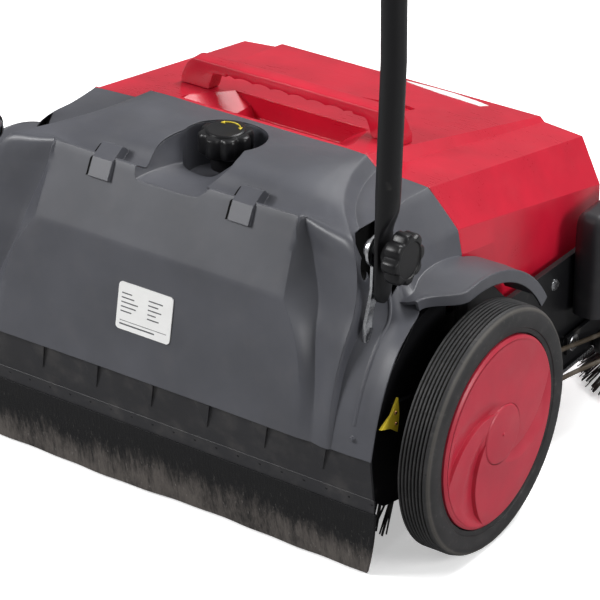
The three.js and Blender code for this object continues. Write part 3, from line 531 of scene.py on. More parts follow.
# ---- Rear cover ---------------------------------------------------------------------------
# Control net of the right half. Rows run from the seam over the top and down to the lip,
# columns out to the wheel arch: the hood (which is level from the middle), the panel's edge, the foot
# of its side wall, the hood's edge, the groove, then the shoulder and the band.
COVER_NET = [
    [(60, 50, 345), (122, 50, 345), (125, 50, 344.8), (129, 50, 344.5),
     (142, 50, 333), (200, 50, 330), (234, 50, 295), (239, 50, 270)],
    [(60, 8, 349), (126, 8, 348), (132, 9, 346), (139, 11, 343),
     (151, 10, 331), (197, 10, 330), (227, 8, 295), (239, 8, 271)],
    [(60, -50, 346), (134, -46, 343), (149, -43, 341), (165, -41, 338),
     (174, -34, 326), (200, -26, 328), (226, -28, 294), (243, -30, 270)],
    [(60, -71, 332), (140, -71, 331.5), (158, -69, 333), (187, -66, 333),
     (192, -52, 318), (206, -42, 319), (232, -46, 280), (254, -47, 267)],
    [(60, -82, 338), (143, -82, 339), (149.5, -76, 337), (203, -82, 329),
     (208, -62, 292), (224, -56, 285), (244, -57, 267), (262, -59, 263)],
    [(60, -97.5, 303.5), (145.5, -97.5, 303.5), (158, -80, 306),
     (216, -93, 303), (219, -76, 266), (240, -75, 256), (251, -76, 254), (262, -76, 251)],
    [(60, -114, 267), (148, -114, 267), (173, -92, 264), (220, -103, 270),
     (220, -93, 249), (240, -93, 240), (251, -92, 239), (262, -92, 238)],
    [(60, -117, 238), (166, -122, 238), (178, -104, 238), (218, -118, 238),
     (218, -109, 227), (240, -110, 217), (251, -109, 216), (262, -109, 215)],
    [(60, -126, 190), (179, -132, 190), (191, -124, 190), (215, -132, 190),
     (218, -126, 186), (240, -128, 180), (251, -127, 177), (262, -127, 175)],
    [(60, -137, 141), (180, -138, 141), (196, -137, 141), (215, -139, 141),
     (218, -137, 141), (240, -137, 141), (251, -136.5, 141), (262, -136, 141)],
]
COVER_THICKNESS = 1.2
STEPS_ACROSS = (20, 20, 6, 12, 8, 10, 10, 8)
STEPS_DOWN = (14, 18, 10, 10, 10, 10, 9, 12, 12)


def crease_across(row, column):
    """How sharply the cover turns at a net point, going outwards: 0 smooth, 1 sharp."""
    return {2: 0.2 if row < 4 else 1.0, 3: 0.0 if row < 4 else 0.85, 4: 0.9 if row < 8 else 0.6, 5: 1.0,
        6: 0.9 if row < 3 else 0.0, 7: 0.9 if row < 4 else 0.0}.get(column, 0.0)


def crease_down(row, column):
    """The same, going down the back: the panel's top edge and its ridge are creases."""
    if column > 2.0:
        return 0.0
    return {3: 0.5, 4: 1.0, 6: 1.0}.get(row, 0.0)


def through(points, creases, steps):
    """Points along a curve through the given ones, turning sharply where a crease is."""
    points = [Vector(p) for p in points]
    gaps = [max((b - a).length, 1e-6) for a, b in zip(points, points[1:])]
    slopes = [(b - a) / g for a, b, g in zip(points, points[1:], gaps)]
    row = [points[0]]
    for k, (gap, slope) in enumerate(zip(gaps, slopes)):
        tangents = []
        for node in (k, k + 1):
            if 0 < node < len(points) - 1:
                g0, g1 = gaps[node - 1], gaps[node]
                smooth = (slopes[node - 1] * g1 + slopes[node] * g0) / (g0 + g1)
                tangents.append(smooth.lerp(slope, creases[node]))
            else:
                tangents.append(slope)
        for s in range(1, steps[k] + 1):
            t = s / steps[k]
            share = 3 * t ** 2 - 2 * t ** 3
            row.append(points[k].lerp(points[k + 1], share) + tangents[0] * gap
                * (t ** 3 - 2 * t ** 2 + t) + tangents[1] * gap * (t ** 3 - t ** 2))
    return row


def cover_grid():
    """The right half of the cover's outer surface as a fine grid of points."""
    across = []
    for r, (first, *others) in enumerate(COVER_NET):
        row = [(0, first[1], first[2]), first, *others]
        creases = [crease_across(r, c) for c in range(len(row))]
        across.append(through(row, creases, STEPS_ACROSS))
    where = [0.0]
    for c, steps in enumerate(STEPS_ACROSS):
        where += [c + (s + 1) / steps for s in range(steps)]
    columns = []
    for k, column in enumerate(where):
        creases = [crease_down(r, column) for r in range(len(COVER_NET))]
        columns.append(through([row[k] for row in across], creases, STEPS_DOWN))
    return [list(row) for row in zip(*columns)]


def relaxed(grid, rounds, share):
    """The grid with its creases rounded off; its border stays."""
    for _ in range(rounds):
        fresh = [row[:] for row in grid]
        for r in range(1, len(grid) - 1):
            for c in range(1, len(grid[0]) - 1):
                mean = (grid[r - 1][c] + grid[r + 1][c] + grid[r][c - 1] + grid[r][c + 1]) / 4
                fresh[r][c] = grid[r][c].lerp(mean, share)
        grid = fresh
    return grid


def slab(top, under):
    """Closed solid between two grids of points of equal size."""
    rows, columns = len(top), len(top[0])
    points = [tuple(p) for row in top for p in row] + [tuple(p) for row in under for p in row]
    faces = []
    lift = rows * columns
    for r in range(rows - 1):
        for c in range(columns - 1):
            a = r * columns + c
            quad = [a, a + 1, a + columns + 1, a + columns]
            faces.append(quad)
            faces.append([i + lift for i in quad[::-1]])
    rim = list(range(columns)) + [r * columns + columns - 1 for r in range(1, rows)]
    rim += [(rows - 1) * columns + c for c in range(columns - 2, -1, -1)]
    rim += [r * columns for r in range(rows - 2, 0, -1)]
    for a, b in zip(rim, rim[1:] + rim[:1]):
        faces.append([a, b, b + lift, a + lift])
    return points, faces


def sheet(grid, thickness):
    """A sheet of the given thickness below a grid of points."""
    rows, columns = len(grid), len(grid[0])
    inner = []
    for r in range(rows):
        row = []
        for c in range(columns):
            along = grid[r][min(c + 1, columns - 1)] - grid[r][max(c - 1, 0)]
            down = grid[min(r + 1, rows - 1)][c] - grid[max(r - 1, 0)][c]
            row.append(grid[r][c] + along.cross(down).normalized() * thickness)
        inner.append(row)
    return slab(grid, inner)


POCKET_RADIUS = 41.5
POCKET_FLOOR_Z = 303
POCKET_WALL = 3


def scoop(margin=0.0):
    """Hollow from the knob's pocket to the panel: steep on the left, a soft slope right."""
    sections = []
    for y, left, right, floor in ((-8, 33, 12, 318), (-24, 35, 17, 321.5), (-40, 37.5, 22, 324.5),
            (-56, 40, 27.5, 326.5), (-72, 42.5, 33, 327.5), (-86, 44.5, 38, 327), (-104, 47, 45, 324)):
        left, right, floor = left + margin, right + margin, floor - margin
        sections.append([(-left - 7, y, 362), (-left - 6, y, floor + 24), (-left, y, floor + 4),
            (2 - left, y, floor + 1.2), (5 - left, y, floor), (right * 0.3, y, floor),
            (right - 10, y, floor + 1.2), (right - 4, y, floor + 4), (right + 7, y, floor + 13),
            (right + 15, y, floor + 20), (right + 26, y, 362)])
    return loft(sections)


FENDER_START = -22.5
FENDER_END = 58.0


def fender():
    """Wheel arch whose lip swings out from the band's corner and sinks towards the tyre."""
    seat, band_x, reach, depth = 153.5, 262, 290, 11.5
    steps = 64
    sections = []
    for k in range(steps + 1):
        degrees = FENDER_START + (FENDER_END - FENDER_START) * k / steps
        outer = band_x + (reach - band_x) * smooth_step(degrees, FENDER_START, -5)
        lip = 152 + 13 * (1 - smooth_step(degrees, FENDER_START - 4, -8))
        angle = radians(degrees)
        inner = 243 if seat * sin(angle) > SEAM_Y - 6 else 235
        crown_x, crown = inner + (outer - inner) * 0.55, seat + (lip - seat) * 0.45 + 0.9
        profile = [(inner, seat), (crown_x, crown), (outer - 3.4, lip + 0.3), (outer - 2.6, lip + 0.9),
            (outer - 0.6, lip + 0.7), (outer, lip - 0.2), (outer, lip - depth),
            (outer - 2.6, lip - depth), (outer - 2.8, lip - 3.5), (crown_x, crown - 3.4),
            (inner, seat - 3.5)]
        sections.append([(x, r * sin(angle), AXLE_Z + r * cos(angle)) for x, r in profile])
    return loft(sections)


def panel_hook(x):
    """Wedge-shaped catch over the panel's top edge; the gap along its left side is painted shade, a
    near-black sliver beside it.
    """
    outline = [(-58, 330), (-62, 340), (-68, 345.6), (-71, 346.2), (-87, 337), (-96, 320), (-86, 314)]
    return prism_x(outline, x - 12, x + 12)


def hook_shade_sliver(x):
    """Painted shade: a near-black sliver along a catch's left side, where its gap would lie in shade."""
    outline = [(-64, 338), (-70, 344.6), (-74, 343.0), (-86.6, 335.6), (-94.6, 320.4), (-84, 318)]
    return loft([[(x - 12.05, y, z) for y, z in outline], [(x - 15.5, y, z - 1.5) for y, z in outline]])


def band_rib(grid):
    """Raised line down the middle of the band, ending in a small dot."""
    column = len(grid[0]) - 1 - sum(STEPS_ACROSS[6:])
    first, last = sum(STEPS_DOWN[:4]) + 2, sum(STEPS_DOWN[:8]) + 4
    line = [grid[r][column] + Vector((0, -0.4, 0.3)) for r in range(first, last)]
    outline = [(-2.2, -2.5), (-1.4, 1.0), (0, 1.7), (1.4, 1.0), (2.2, -2.5)]
    dot = rod((240, -126, 158), (240, -137.6, 159), 2.2, 16)
    return merge(sweep(line, outline), dot)


def side_slot(x0, x1):
    """Slot in the band that the strap comes out of."""
    outline = [(-88, 262), (-99, 264), (-107, 246), (-107, 240), (-97, 240), (-88, 250)]
    return prism_x(outline, x0, x1)


def bracket_room(grown=0.0):
    """Opening in the hood's side for the strap, and a round notch for the bolt's head."""
    outline = [(-78 - grown, 335), (-30 + grown, 335), (-30 + grown, 262 - grown), (-60, 260 - grown),
        (-65 - grown, 273), (-70 - grown, 297), (-77.5 - grown, 320)]
    slices = ((186 - grown, 25), (203.5 - grown, 0), (233.3, 0))
    sections = [[(x, y + dy, z - dy / 2) for y, z in outline] for x, dy in slices]
    return [loft(sections), rod((203 - grown, -77, 301.5), (226, -77, 301.5), 9.5 + grown, 32)]


def rear_cover():
    """Hood, panel and bands in one skin, with the knob's pocket, openings and wheel arches."""
    right = relaxed(cover_grid(), 1, 0.4)
    grid = [[Vector((-p.x, p.y, p.z)) for p in row[:0:-1]] + row for row in right]
    skin = sheet(grid, -COVER_THICKNESS)
    well = rod((0, 0, POCKET_FLOOR_Z), (0, 0, 365), POCKET_RADIUS, 72)
    centre = len(right[0]) - 1
    reach = STEPS_ACROSS[0] + 6
    below = [[p - Vector((0, 0, 0.5)) for p in row[centre - reach:centre + reach + 1]]
        for row in grid[:sum(STEPS_DOWN[:5]) + 3]]
    bulk = slab(below, [[Vector((p.x, p.y, 255)) for p in row] for row in below])
    cup = rod((0, 0, POCKET_FLOOR_Z - POCKET_WALL), (0, 0, 365), POCKET_RADIUS + POCKET_WALL, 72)
    casing = carve(scoop(POCKET_WALL), joins=[cup], keeps=[bulk])
    room, slot = bracket_room(), side_slot(225.2, 231.2)
    openings = [slot, *room]
    casing = carve(casing, cuts=[scoop(), well])
    body = carve(skin, cuts=[scoop(), well, *openings, *map(mirror, openings)])
    rib = band_rib(grid)
    extras = [fender(), mirror(fender()), rib, mirror(rib), panel_hook(83), panel_hook(-83)]
    piece("rear_cover_shell", merge(body, casing, *extras), COVER, "chassis", ["rear_cover"], sharp=28)
    # Painted shade: near-black shells inside the bracket openings and the strap's slot, and slivers beside
    # the catches, stand for the shade that falls there.
    under = [[p + Vector((-1.5 if p.x > 0 else 1.5, 1.5, -2.0)) for p in row] for row in grid]
    deep = slab(under, [[Vector((p.x * 0.6, p.y * 0.6, 150)) for p in row] for row in under])
    shade_pieces = [hook_shade_sliver(83), hook_shade_sliver(-83)]
    for thick in (*bracket_room(2.5), side_slot(221.5, 234)):
        shade_shell = carve(thick, cuts=room, keeps=[deep])
        shade_pieces += [shade_shell, mirror(shade_shell)]
    piece("rear_cover_painted_shade", merge(*shade_pieces), SHADOW, "chassis")


# ---- Type plate, apron and flap -----------------------------------------------------------
def rounded_rectangle(width, height, radius, sides=6):
    points = []
    for sx, sy, start in ((1, 1, 0), (-1, 1, 90), (-1, -1, 180), (1, -1, 270)):
        points += around(sx * (width / 2 - radius), sy * (height / 2 - radius), radius, sides, start,
            start + 90)
    return points


def type_plate():
    """White label with generic bars where a label has its lines."""
    def on_plate(outline, y0, y1):
        return moved(turned(prism_y(outline, y0, y1), -11, "X", (0, 0, 0)), -8, -124.6, 209)

    def bar(x, z, width, height):
        outline = [(x, z), (x + width, z), (x + width, z + height), (x, z + height)]
        return on_plate(outline, -0.12, 0.2)

    piece("type_plate_label", on_plate(rounded_rectangle(65, 48, 4), 0, 1.0), LABEL, "chassis",
        ["type_plate"])
    bars = [bar(-28, -15, 56, 0.6), bar(-28, -19, 42, 1.4)]
    for row, widths in enumerate(((12, 17), (15, 12), (20, 16), (18, 10), (13, 14))):
        bars += [bar(x, 12.5 - row * 4.6, width, 1.2) for x, width in zip((-28, 4), widths)]
    piece("type_plate_print", merge(*bars), INK, "chassis")


APRON_TOP = (-133, 140.4)
APRON_FOOT = (-124.8, 83)
GUSSET_PITCH = 67.5
RIVET_PITCH = 25.7


def rear_apron():
    sheet_part = prism_x([APRON_TOP, APRON_FOOT, (APRON_FOOT[0] + 3, APRON_FOOT[1]),
        (APRON_TOP[0] + 3, APRON_TOP[1])], -258, 258)
    gussets = []
    for k in range(-3, 4):
        x = k * GUSSET_PITCH
        top = [(x - 9, -136, 139.5), (x + 9, -136, 139.5), (x + 9, -131, 139.5), (x - 9, -131, 139.5)]
        tip = [(x - 1, -129.5, 110), (x + 1, -129.5, 110), (x + 1, -127.5, 110), (x - 1, -127.5, 110)]
        gussets.append(loft([top, tip]))
    hem = prism_x([(-126.6, 93), (-126.5, 76.5), (-125.4, 76.5), (-124.6, 93)], -259.5, 259.5)
    piece("rear_apron_sheet", merge(sheet_part, hem, *gussets), APRON, "chassis", ["rear_apron"])
    rivets = []
    for k in range(-10, 11):
        x = k * RIVET_PITCH
        rivets.append(rod((x, -122, 88), (x, -126.6, 88.4), 2.4, 14, tip=1.5))
    piece("rear_apron_rivets", merge(*rivets), DARK_ZINC, "chassis")


def rubber_flap():
    """Sheet that hangs from the apron, a little wavy, its ends drawn in towards the floor."""
    rows = []
    top_z, foot_z = 78.5, 3.0
    down_steps, across_steps = 24, 130
    for r in range(down_steps + 1):
        t = r / down_steps
        z = top_z + (foot_z - top_z) * t
        half = 261 - 15 * t ** 1.6
        row = []
        for c in range(across_steps + 1):
            x = -half + 2 * half * c / across_steps
            wave = (2.0 * sin(x / 70) + 1.0 * sin(x / 31) + 0.5 * sin(x / 9.5)) * t
            row.append(Vector((x, -124.8 + 10.3 * t ** 1.3 + wave, z)))
        rows.append(row)
    piece("rubber_flap_sheet", sheet(rows, -3.0), FLAP, "flap", ["rubber_flap"], sharp=50)


# ---- Knobs and brackets -------------------------------------------------------------------
def lobes(count, mean, depth, steps=96):
    """A round outline with lobes that are broad and valleys that are narrow."""
    points = []
    for a in turns(steps):
        radius = mean + depth * (1 - 2 * (0.5 - 0.5 * cos(count * a)) ** 2.2)
        points.append((radius * cos(a), radius * sin(a)))
    return points


def knob_head(height, mean, depth, crown):
    """Lobed knob head along Z, rounded over at its outer end and recessed on top."""
    layers = [(0, 0.9), (1.5, 0.97), (3, 1.0), (height - 4, 1.0), (height - 1.6, 0.975),
        (height - 0.3, 0.92), (height, 0.86)]
    sections = []
    for z, share in layers:
        sections.append([(x * share, y * share, z) for x, y in lobes(8, mean, depth)])
    body = loft(sections)
    dish = lathe_z([(0, height - crown), (mean * 0.74, height - crown), (mean * 0.8, height + 1),
        (0, height + 1)], 0, 0, 48)
    return carve(body, cuts=[dish]) if crown else body


def height_knob():
    """Knob in the hood's pocket, with a yellow two-headed arrow on its cap."""
    low, high = 334, 356
    head = moved(knob_head(high - low, 25, 2.2, 0), dz=low)
    stem = lathe_z([(0, 317.5), (15, 317.5), (15, low + 2), (0, low + 2)], 0, 0, 48)
    cap = lathe_z([(0, high - 1), (19.4, high - 1), (19.2, high + 1.4), (17.6, high + 2.4),
        (12, high + 1.5), (0, high + 1.3)], 0, 0, 64)
    piece("height_knob_head", merge(head, stem, cap), BLACK, "height_adjuster", ["height_knob"])
    start, stop = 40, 128
    arc = [(x, y, high + 2.0) for x, y in around(0, 0, 14.6, 24, start, stop)]
    strip = [(-0.9, -0.3), (0.9, -0.3), (0.9, 0.35), (-0.9, 0.35)]
    marks = [sweep(arc, strip, normal=(0, 0.01, 1))]
    for angle, turn in ((start, -1), (stop, 1)):
        a = radians(angle)
        tip = radians(angle + 16 * turn)
        head_points = [(12.4 * cos(a), 12.4 * sin(a)), (16.8 * cos(a), 16.8 * sin(a)),
            (14.6 * cos(tip), 14.6 * sin(tip))]
        marks.append(prism_z(head_points, high + 1.5, high + 2.5))
    piece("height_knob_marks", merge(*marks), YELLOW, "height_adjuster")


def star_knobs():
    """Lobed clamp knobs with a neck and a set-in disc."""
    points, faces = knob_head(17, 23.5, 2.2, 2.2)
    lying = [(248 + z, PIVOT_Y + x, PIVOT_Z + y) for x, y, z in points]
    neck = lathe_x([(4.4, 239.4), (11, 239.4), (10, 243), (12, 249), (4.4, 249)], PIVOT_Y, PIVOT_Z, 48)
    disc = lathe_x([(0, 262.2), (18.4, 262.2), (18.2, 263.6), (0, 263.9)], PIVOT_Y, PIVOT_Z, 48)
    solid = merge((lying, faces), neck, disc)
    pair("star_knob_head", solid, BLACK, "clamp_knob_SIDE", "star_knob_SIDE")


def handle_brackets():
    """Zinc strap that comes out of the slot, bends upright and ends in a round eye."""
    inner_x, outer_x = 225.7, 229.1
    outline = [(-73.8, PIVOT_Z), (-76.5, 290), (-79, 280), (-87, 262), (-88, 214), (-98, 214), (-99, 252),
        (-98.5, 258), (-91, 280), (-88, 290), (-86.2, PIVOT_Z)]
    strap = prism_x(outline, inner_x, outer_x)
    eye = lathe_x([(4.4, inner_x), (15.4, inner_x), (16, inner_x + 0.7), (16, outer_x - 0.7),
        (15.4, outer_x), (4.4, outer_x)], PIVOT_Y, PIVOT_Z, 48)
    foot = prism_x([(-110, 196), (-94, 196), (-92, 214), (-108, 216)], inner_x, 245.6)
    pair("handle_bracket_strap", merge(strap, eye, foot), ZINC, "chassis", "handle_bracket_SIDE",
        bevel=0.5)
    bolt = lathe_x([(0, 217.6), (4, 217.9), (8.4, 219.4), (10.8, 222.2), (11.2, 225.2), (4, 225.2),
        (4, 258), (0, 258)], PIVOT_Y, PIVOT_Z, 48)
    pair("pivot_bolt_round", bolt, ZINC, "chassis", "pivot_bolt_SIDE")


def height_pointers():
    """Three-pointed arrow with concave sides, fixed by two screws."""
    tips = [(-93, 190), (-122, 168.5), (-93, 153)]
    waists = [(-104, 176.5), (-104.5, 162), (-90.5, 171)]
    outline = []
    for tip, waist in zip(tips, waists):
        outline += [tip, waist]
    arrow = prism_x(outline, 260.3, 262.9)
    pair("height_pointer_arrow", arrow, YELLOW, "carrier", "height_pointer_SIDE", bevel=0.3)
    screws = merge(*[rod((262.4, y, z), (264, y, z), 2.2, 16, tip=1.6)
        for y, z in ((-97.5, 176), (-96.5, 164))])
    pair("height_pointer_screws", screws, BRONZE, "carrier")


# ---- Wheels -------------------------------------------------------------------------------
def tyre_profile():
    """Closed profile of (radius, x): a ribbed tread and a smooth sidewall with a small step."""
    inner = WHEEL_MIDDLE_X - WHEEL_WIDTH / 2
    outer = WHEEL_MIDDLE_X + WHEEL_WIDTH / 2
    seat, r = HUB_RADIUS + 1.3, WHEEL_RADIUS
    profile = [(seat, inner + 2), (108, inner + 0.4), (116, inner), (r - 3, inner + 1.6)]
    ribs = 7
    tread_start, tread_end = inner + 2.6, outer - 7.5
    pitch = (tread_end - tread_start) / ribs
    for k in range(ribs):
        x = tread_start + pitch * k
        end = x + pitch
        profile += [(r - 0.8, x + 0.1), (r, x + 0.6), (r, end - 1.9), (r - 0.8, end - 1.4),
            (r - 3.2, end - 1.1), (r - 3.2, end - 0.3)]
    profile += [(r - 0.6, tread_end + 0.2), (r - 1.2, outer - 5), (r - 3.4, outer - 2.4),
        (r - 7, outer - 0.8), (114, outer), (106, outer - 0.5), (103.6, outer - 1.1), (103, outer - 2.2),
        (seat + 0.4, outer - 2.8), (seat, outer - 3.6)]
    return profile


HUB_ARMS = ((112.0, 63.0), (175.0, 125.0), (300.0, 172.0))


def hub_face(radius, inner, outer, base, step):
    """Face of the hub cap: three arms that curve outwards, each over a hollow beside it."""
    rings = 40
    hollow = 34.0
    points, faces = [], []
    spokes = []
    for start, span in HUB_ARMS:
        count = int(span)
        for k in range(count + 1):
            to_next = span * (1 - k / count)
            nudge = 0.7 if k == 0 else 0
            spokes.append((start + span - to_next + nudge, smooth_step(to_next, hollow, 0)))
    spokes.sort()
    for ring in range(rings + 1):
        t = ring / rings
        r = inner + (outer - inner) * t
        fade = min(1.0, (1 - t) * 6, t * 8 + 0.25)
        for angle, dip in spokes:
            a = radians(angle + 78 * t ** 0.7)
            dome = base - 2.5 * t
            points.append((dome - step * dip * fade, r * cos(a), AXLE_Z + r * sin(a)))
    count = len(spokes)
    for ring in range(rings):
        for k in range(count):
            n = (k + 1) % count
            a, b = ring * count, (ring + 1) * count
            faces.append([a + k, a + n, b + n, b + k])
    return points, faces


def wheels():
    tyre = lathe_x(tyre_profile(), 0, AXLE_Z, 160)
    pair("tyre_ribbed", tyre, TYRE, "wheel_SIDE", "tyre_SIDE", sharp=24)
    outer = WHEEL_MIDDLE_X + WHEEL_WIDTH / 2
    boss = 31
    edge = HUB_RADIUS
    face = hub_face(edge, boss, edge - 4, outer + 3.4, 4.2)
    rim = lathe_x([(edge - 4, outer + 0.5), (edge - 2.4, outer + 0.2), (edge, outer - 1.6),
        (edge, outer - 7), (10, outer - 7), (10, outer - 4), (edge - 4, outer - 4)], 0, AXLE_Z, 120)
    hub = lathe_x([(0, outer + 4.4), (boss - 4, outer + 4.6), (boss - 1.5, outer + 4.2),
        (boss - 0.5, outer + 3.2), (boss, outer + 1.5), (0, outer + 1.5)], 0, AXLE_Z, 96)
    dot = lathe_x([(0, outer + 5.6), (1.6, outer + 5.4), (2.2, outer + 4.2), (0, outer + 4.2)], 0, AXLE_Z,
        24)
    pair("hub_cap_swirl", merge(face, rim, hub, dot), HUB, "wheel_SIDE", "hub_cap_SIDE", sharp=22)


# ---- Hopper -------------------------------------------------------------------------------
HOPPER_FRONT_Y = 325
HOPPER_MIDDLE_Z = 190
HOPPER_HALF_WIDTH = 236
HOPPER_HALF_HEIGHT = 122
HOPPER_SECTION_REAR = ((128, 345), (142, 333), (200, 330), (233, 295), (238.5, 270), (237, 190),
    (236, 150), (236, 70))
HOPPER_SECTION_FRONT = ((162, 290), (167, 285), (212, 281), (235, 233), (235.8, 215), (236, 190),
    (236, 150), (236, 70))


def hopper_section(y, inset=0.0):
    t = (y - SEAM_Y) / (HOPPER_FRONT_Y - SEAM_Y)
    half = []
    for (x0, z0), (x1, z1) in zip(HOPPER_SECTION_REAR, HOPPER_SECTION_FRONT):
        x = x0 + (x1 - x0) * t
        z = z0 + (z1 - z0) * t
        half.append((x * (1 - inset / HOPPER_HALF_WIDTH), HOPPER_MIDDLE_Z + (z - HOPPER_MIDDLE_Z)
            * (1 - inset / HOPPER_HALF_HEIGHT)))
    return [(x, y, z) for x, z in half] + [(-x, y, z) for x, z in half[::-1]]


def hopper_loft(rear, front, inset=0.0):
    steps = 24
    return loft([hopper_section(rear + (front - rear) * k / steps, inset) for k in range(steps + 1)])


def hopper_tub():
    """Faceted red tub, open at the back and below, with the grip's recess in its top."""
    front, wall, above = HOPPER_FRONT_Y, 3.5, 362
    outer = hopper_loft(SEAM_Y + 0.3, front)
    cavity = hopper_loft(SEAM_Y - 10, front - wall, wall)
    chin = prism_x([(340, 50), (340, 236), (front, 232), (318, 130), (285, 60), (285, 50)], -260, 260)
    inner_chin = prism_x([(330, 50), (330, 240), (319, 240), (314, 131), (282, 66), (282, 50)], -250, 250)
    cavity = carve(cavity, cuts=[inner_chin, block(-250, 250, 20, 68, 50, 132)])
    broom_room = block(-250, 250, 30, 64, 50, 178)
    half, y0, y1, ledge, ledge_z, floor_z = 100, 60, 128, 62, 318, 298
    deep = prism_x([(y0, above), (y0, floor_z + 8), (y0 + 16, floor_z), (y1 - 10, floor_z),
        (y1, floor_z + 8), (y1, above)], -half, half)
    wide = prism_y([(-half, above), (-half, 340), (-ledge, ledge_z), (8 - ledge, floor_z),
        (ledge - 8, floor_z), (ledge, ledge_z), (half, 340), (half, above)], y0, y1)
    recess = carve(deep, keeps=[wide])
    case = carve(outer, keeps=[block(-half - wall, half + wall, y0 - wall, y1 + wall, floor_z - wall,
        above)])
    body = carve(outer, cuts=[cavity, broom_room, chin])
    body = carve(body, joins=[case], cuts=[recess, decal_recess()])
    piece("hopper_tub_faceted", body, HOPPER, "hopper", ["hopper_tub"], sharp=12, bevel=0.8)
    rim_line = [(x, SEAM_Y + 2.6, z) for x, _, z in hopper_section(SEAM_Y)[:5]]
    rim_line = rim_line[::-1] + [(-x, y, z) for x, y, z in rim_line]
    lip = ((-1.5, -2.3), (1.3, -2.3), (1.6, 0), (-1.5, 2.3))
    sections = []
    for x, y, z in rim_line:
        out = Vector((x, 0, z - HOPPER_MIDDLE_Z)).normalized()
        sections.append([(x + out.x * d, y + dy, z + out.z * d) for d, dy in lip])
    piece("hopper_rear_rim", loft(sections), HOPPER, "hopper")


def hopper_top_z(y):
    rear, front = HOPPER_SECTION_REAR[0][1], HOPPER_SECTION_FRONT[0][1]
    return rear + (front - rear) * (y - SEAM_Y) / (HOPPER_FRONT_Y - SEAM_Y)


def decal_recess():
    """Shallow wedge-shaped hollow in the hopper's top, in front of the grip."""
    outline = ((-14, 214), (66, 205), (70, 232), (58, 236))
    return loft([[(x, y, hopper_top_z(y) + 6) for x, y in outline], [(x * 0.96 + 1, y + 0.5,
        hopper_top_z(y) - (0.2 if x < 0 else 3.0)) for x, y in outline]])


def hopper_decal():
    """Plain pale stripe along the front edge of the hopper's top."""
    outline = ((2, 317), (30, 319.5), (60, 320), (90, 315.5), (108, 311), (104, 301), (50, 306),
        (10, 313))
    stripe = loft([[(x, y, hopper_top_z(y) + d) for x, y in outline] for d in (-0.2, 0.35)])
    piece("hopper_stripe", stripe, LABEL, "hopper")


def hopper_grip():
    """Level carry grip on two broad feet, with finger scallops along its underside."""
    inner, outer, top, under, y0, y1 = 100, 133, 365, 353, 106, 126
    shoulder = 19
    sections = []
    steps = 190
    for k in range(steps + 1):
        x = -outer + 2 * outer * k / steps
        from_end = outer - abs(x)
        rise = sin(pi / 2 * min(1.0, (from_end + 0.6) / shoulder)) ** 0.55
        z_top = 336 + (top - 0.8 - 336) * rise + 0.8 * (1 - abs(x) / outer)
        scallop = 2.6 * abs(sin(pi * x / 22)) ** 0.7 if abs(x) < 77 else 0
        z_under = under + scallop - 22 * smooth_step(abs(x), inner - 12, inner + 1) ** 2

        def bottom(y):
            seat = hopper_top_z(y) + 0.3
            return seat if abs(x) > inner - 0.5 else max(z_under, seat)

        b = 3.0
        sections.append([(x, y0, bottom(y0) + 0.5), (x, y0, z_top - b), (x, y0 + 1, z_top - b * 0.3),
            (x, y0 + 3, z_top), (x, y1 - 3, z_top), (x, y1 - 1, z_top - b * 0.3), (x, y1, z_top - b),
            (x, y1, bottom(y1) + 0.5), (x, y1 - 2, bottom(y1 - 2)), (x, y0 + 2, bottom(y0 + 2))])
    piece("hopper_grip_arch", loft(sections), HOPPER, "hopper", ["hopper_grip"], sharp=38)
    screw = lathe_z([(0, 298.3), (4.3, 298.3), (4.5, 299.4), (3.6, 301), (1.6, 301.5), (1.6, 300.4),
        (0, 300.4)], 40, 98, 32)
    pair("grip_screw_round", screw, ZINC, "hopper", "grip_screw_SIDE")


# ---- Push handle --------------------------------------------------------------------------
LEG_TOP_X = 242
LEG_TOP_Z = 638


def handle_legs():
    """Round tube, pressed flat at its foot, with the folds that pressing leaves."""
    flat_x, flat_half, flat_wide = 235.6, 3.3, 13.2
    foot_z, foot_height = 277, 13
    sections = []
    for z, pressed in ((foot_z, 1.0), (278, 1.0), (280, 1.0), (284, 1.0), (290, 1.0), (336, 1.0),
            (346, 0.97), (352, 0.85), (358, 0.62), (364, 0.38), (370, 0.18), (378, 0.05), (388, 0.0),
            (520, 0.0), (LEG_TOP_Z, 0.0)):
        if z <= 388:
            centre = flat_x + (239.6 - flat_x) * (1 - pressed)
        else:
            centre = 243.4 if z == 520 else LEG_TOP_X
        half_x = flat_half + (TUBE_RADIUS - 0.8 - flat_half) * (1 - pressed)
        half_y = TUBE_RADIUS - 0.6 + (flat_wide - TUBE_RADIUS + 0.6) * pressed
        rise = min(1.0, (z - foot_z) / foot_height)
        end = sqrt(max(0.05, 1 - (1 - rise) ** 2))
        ring = []
        power = 1.0 - 0.45 * pressed
        crease = 2.6 * (1 - abs(2 * pressed - 1)) if 0.1 < pressed < 0.95 else 0.0
        for a in turns(40):
            u = copysign(abs(cos(a)) ** power, cos(a))
            v = copysign(abs(sin(a)) ** power, sin(a))
            fold = crease * max(0.0, 1 - abs(v) * 2.2)
            ring.append((centre + (half_x - fold) * u, PIVOT_Y + half_y * end * v, z))
        sections.append(ring)
    pair("handle_leg_tube", loft(sections), STEEL, "handle", "handle_leg_SIDE", sharp=40)


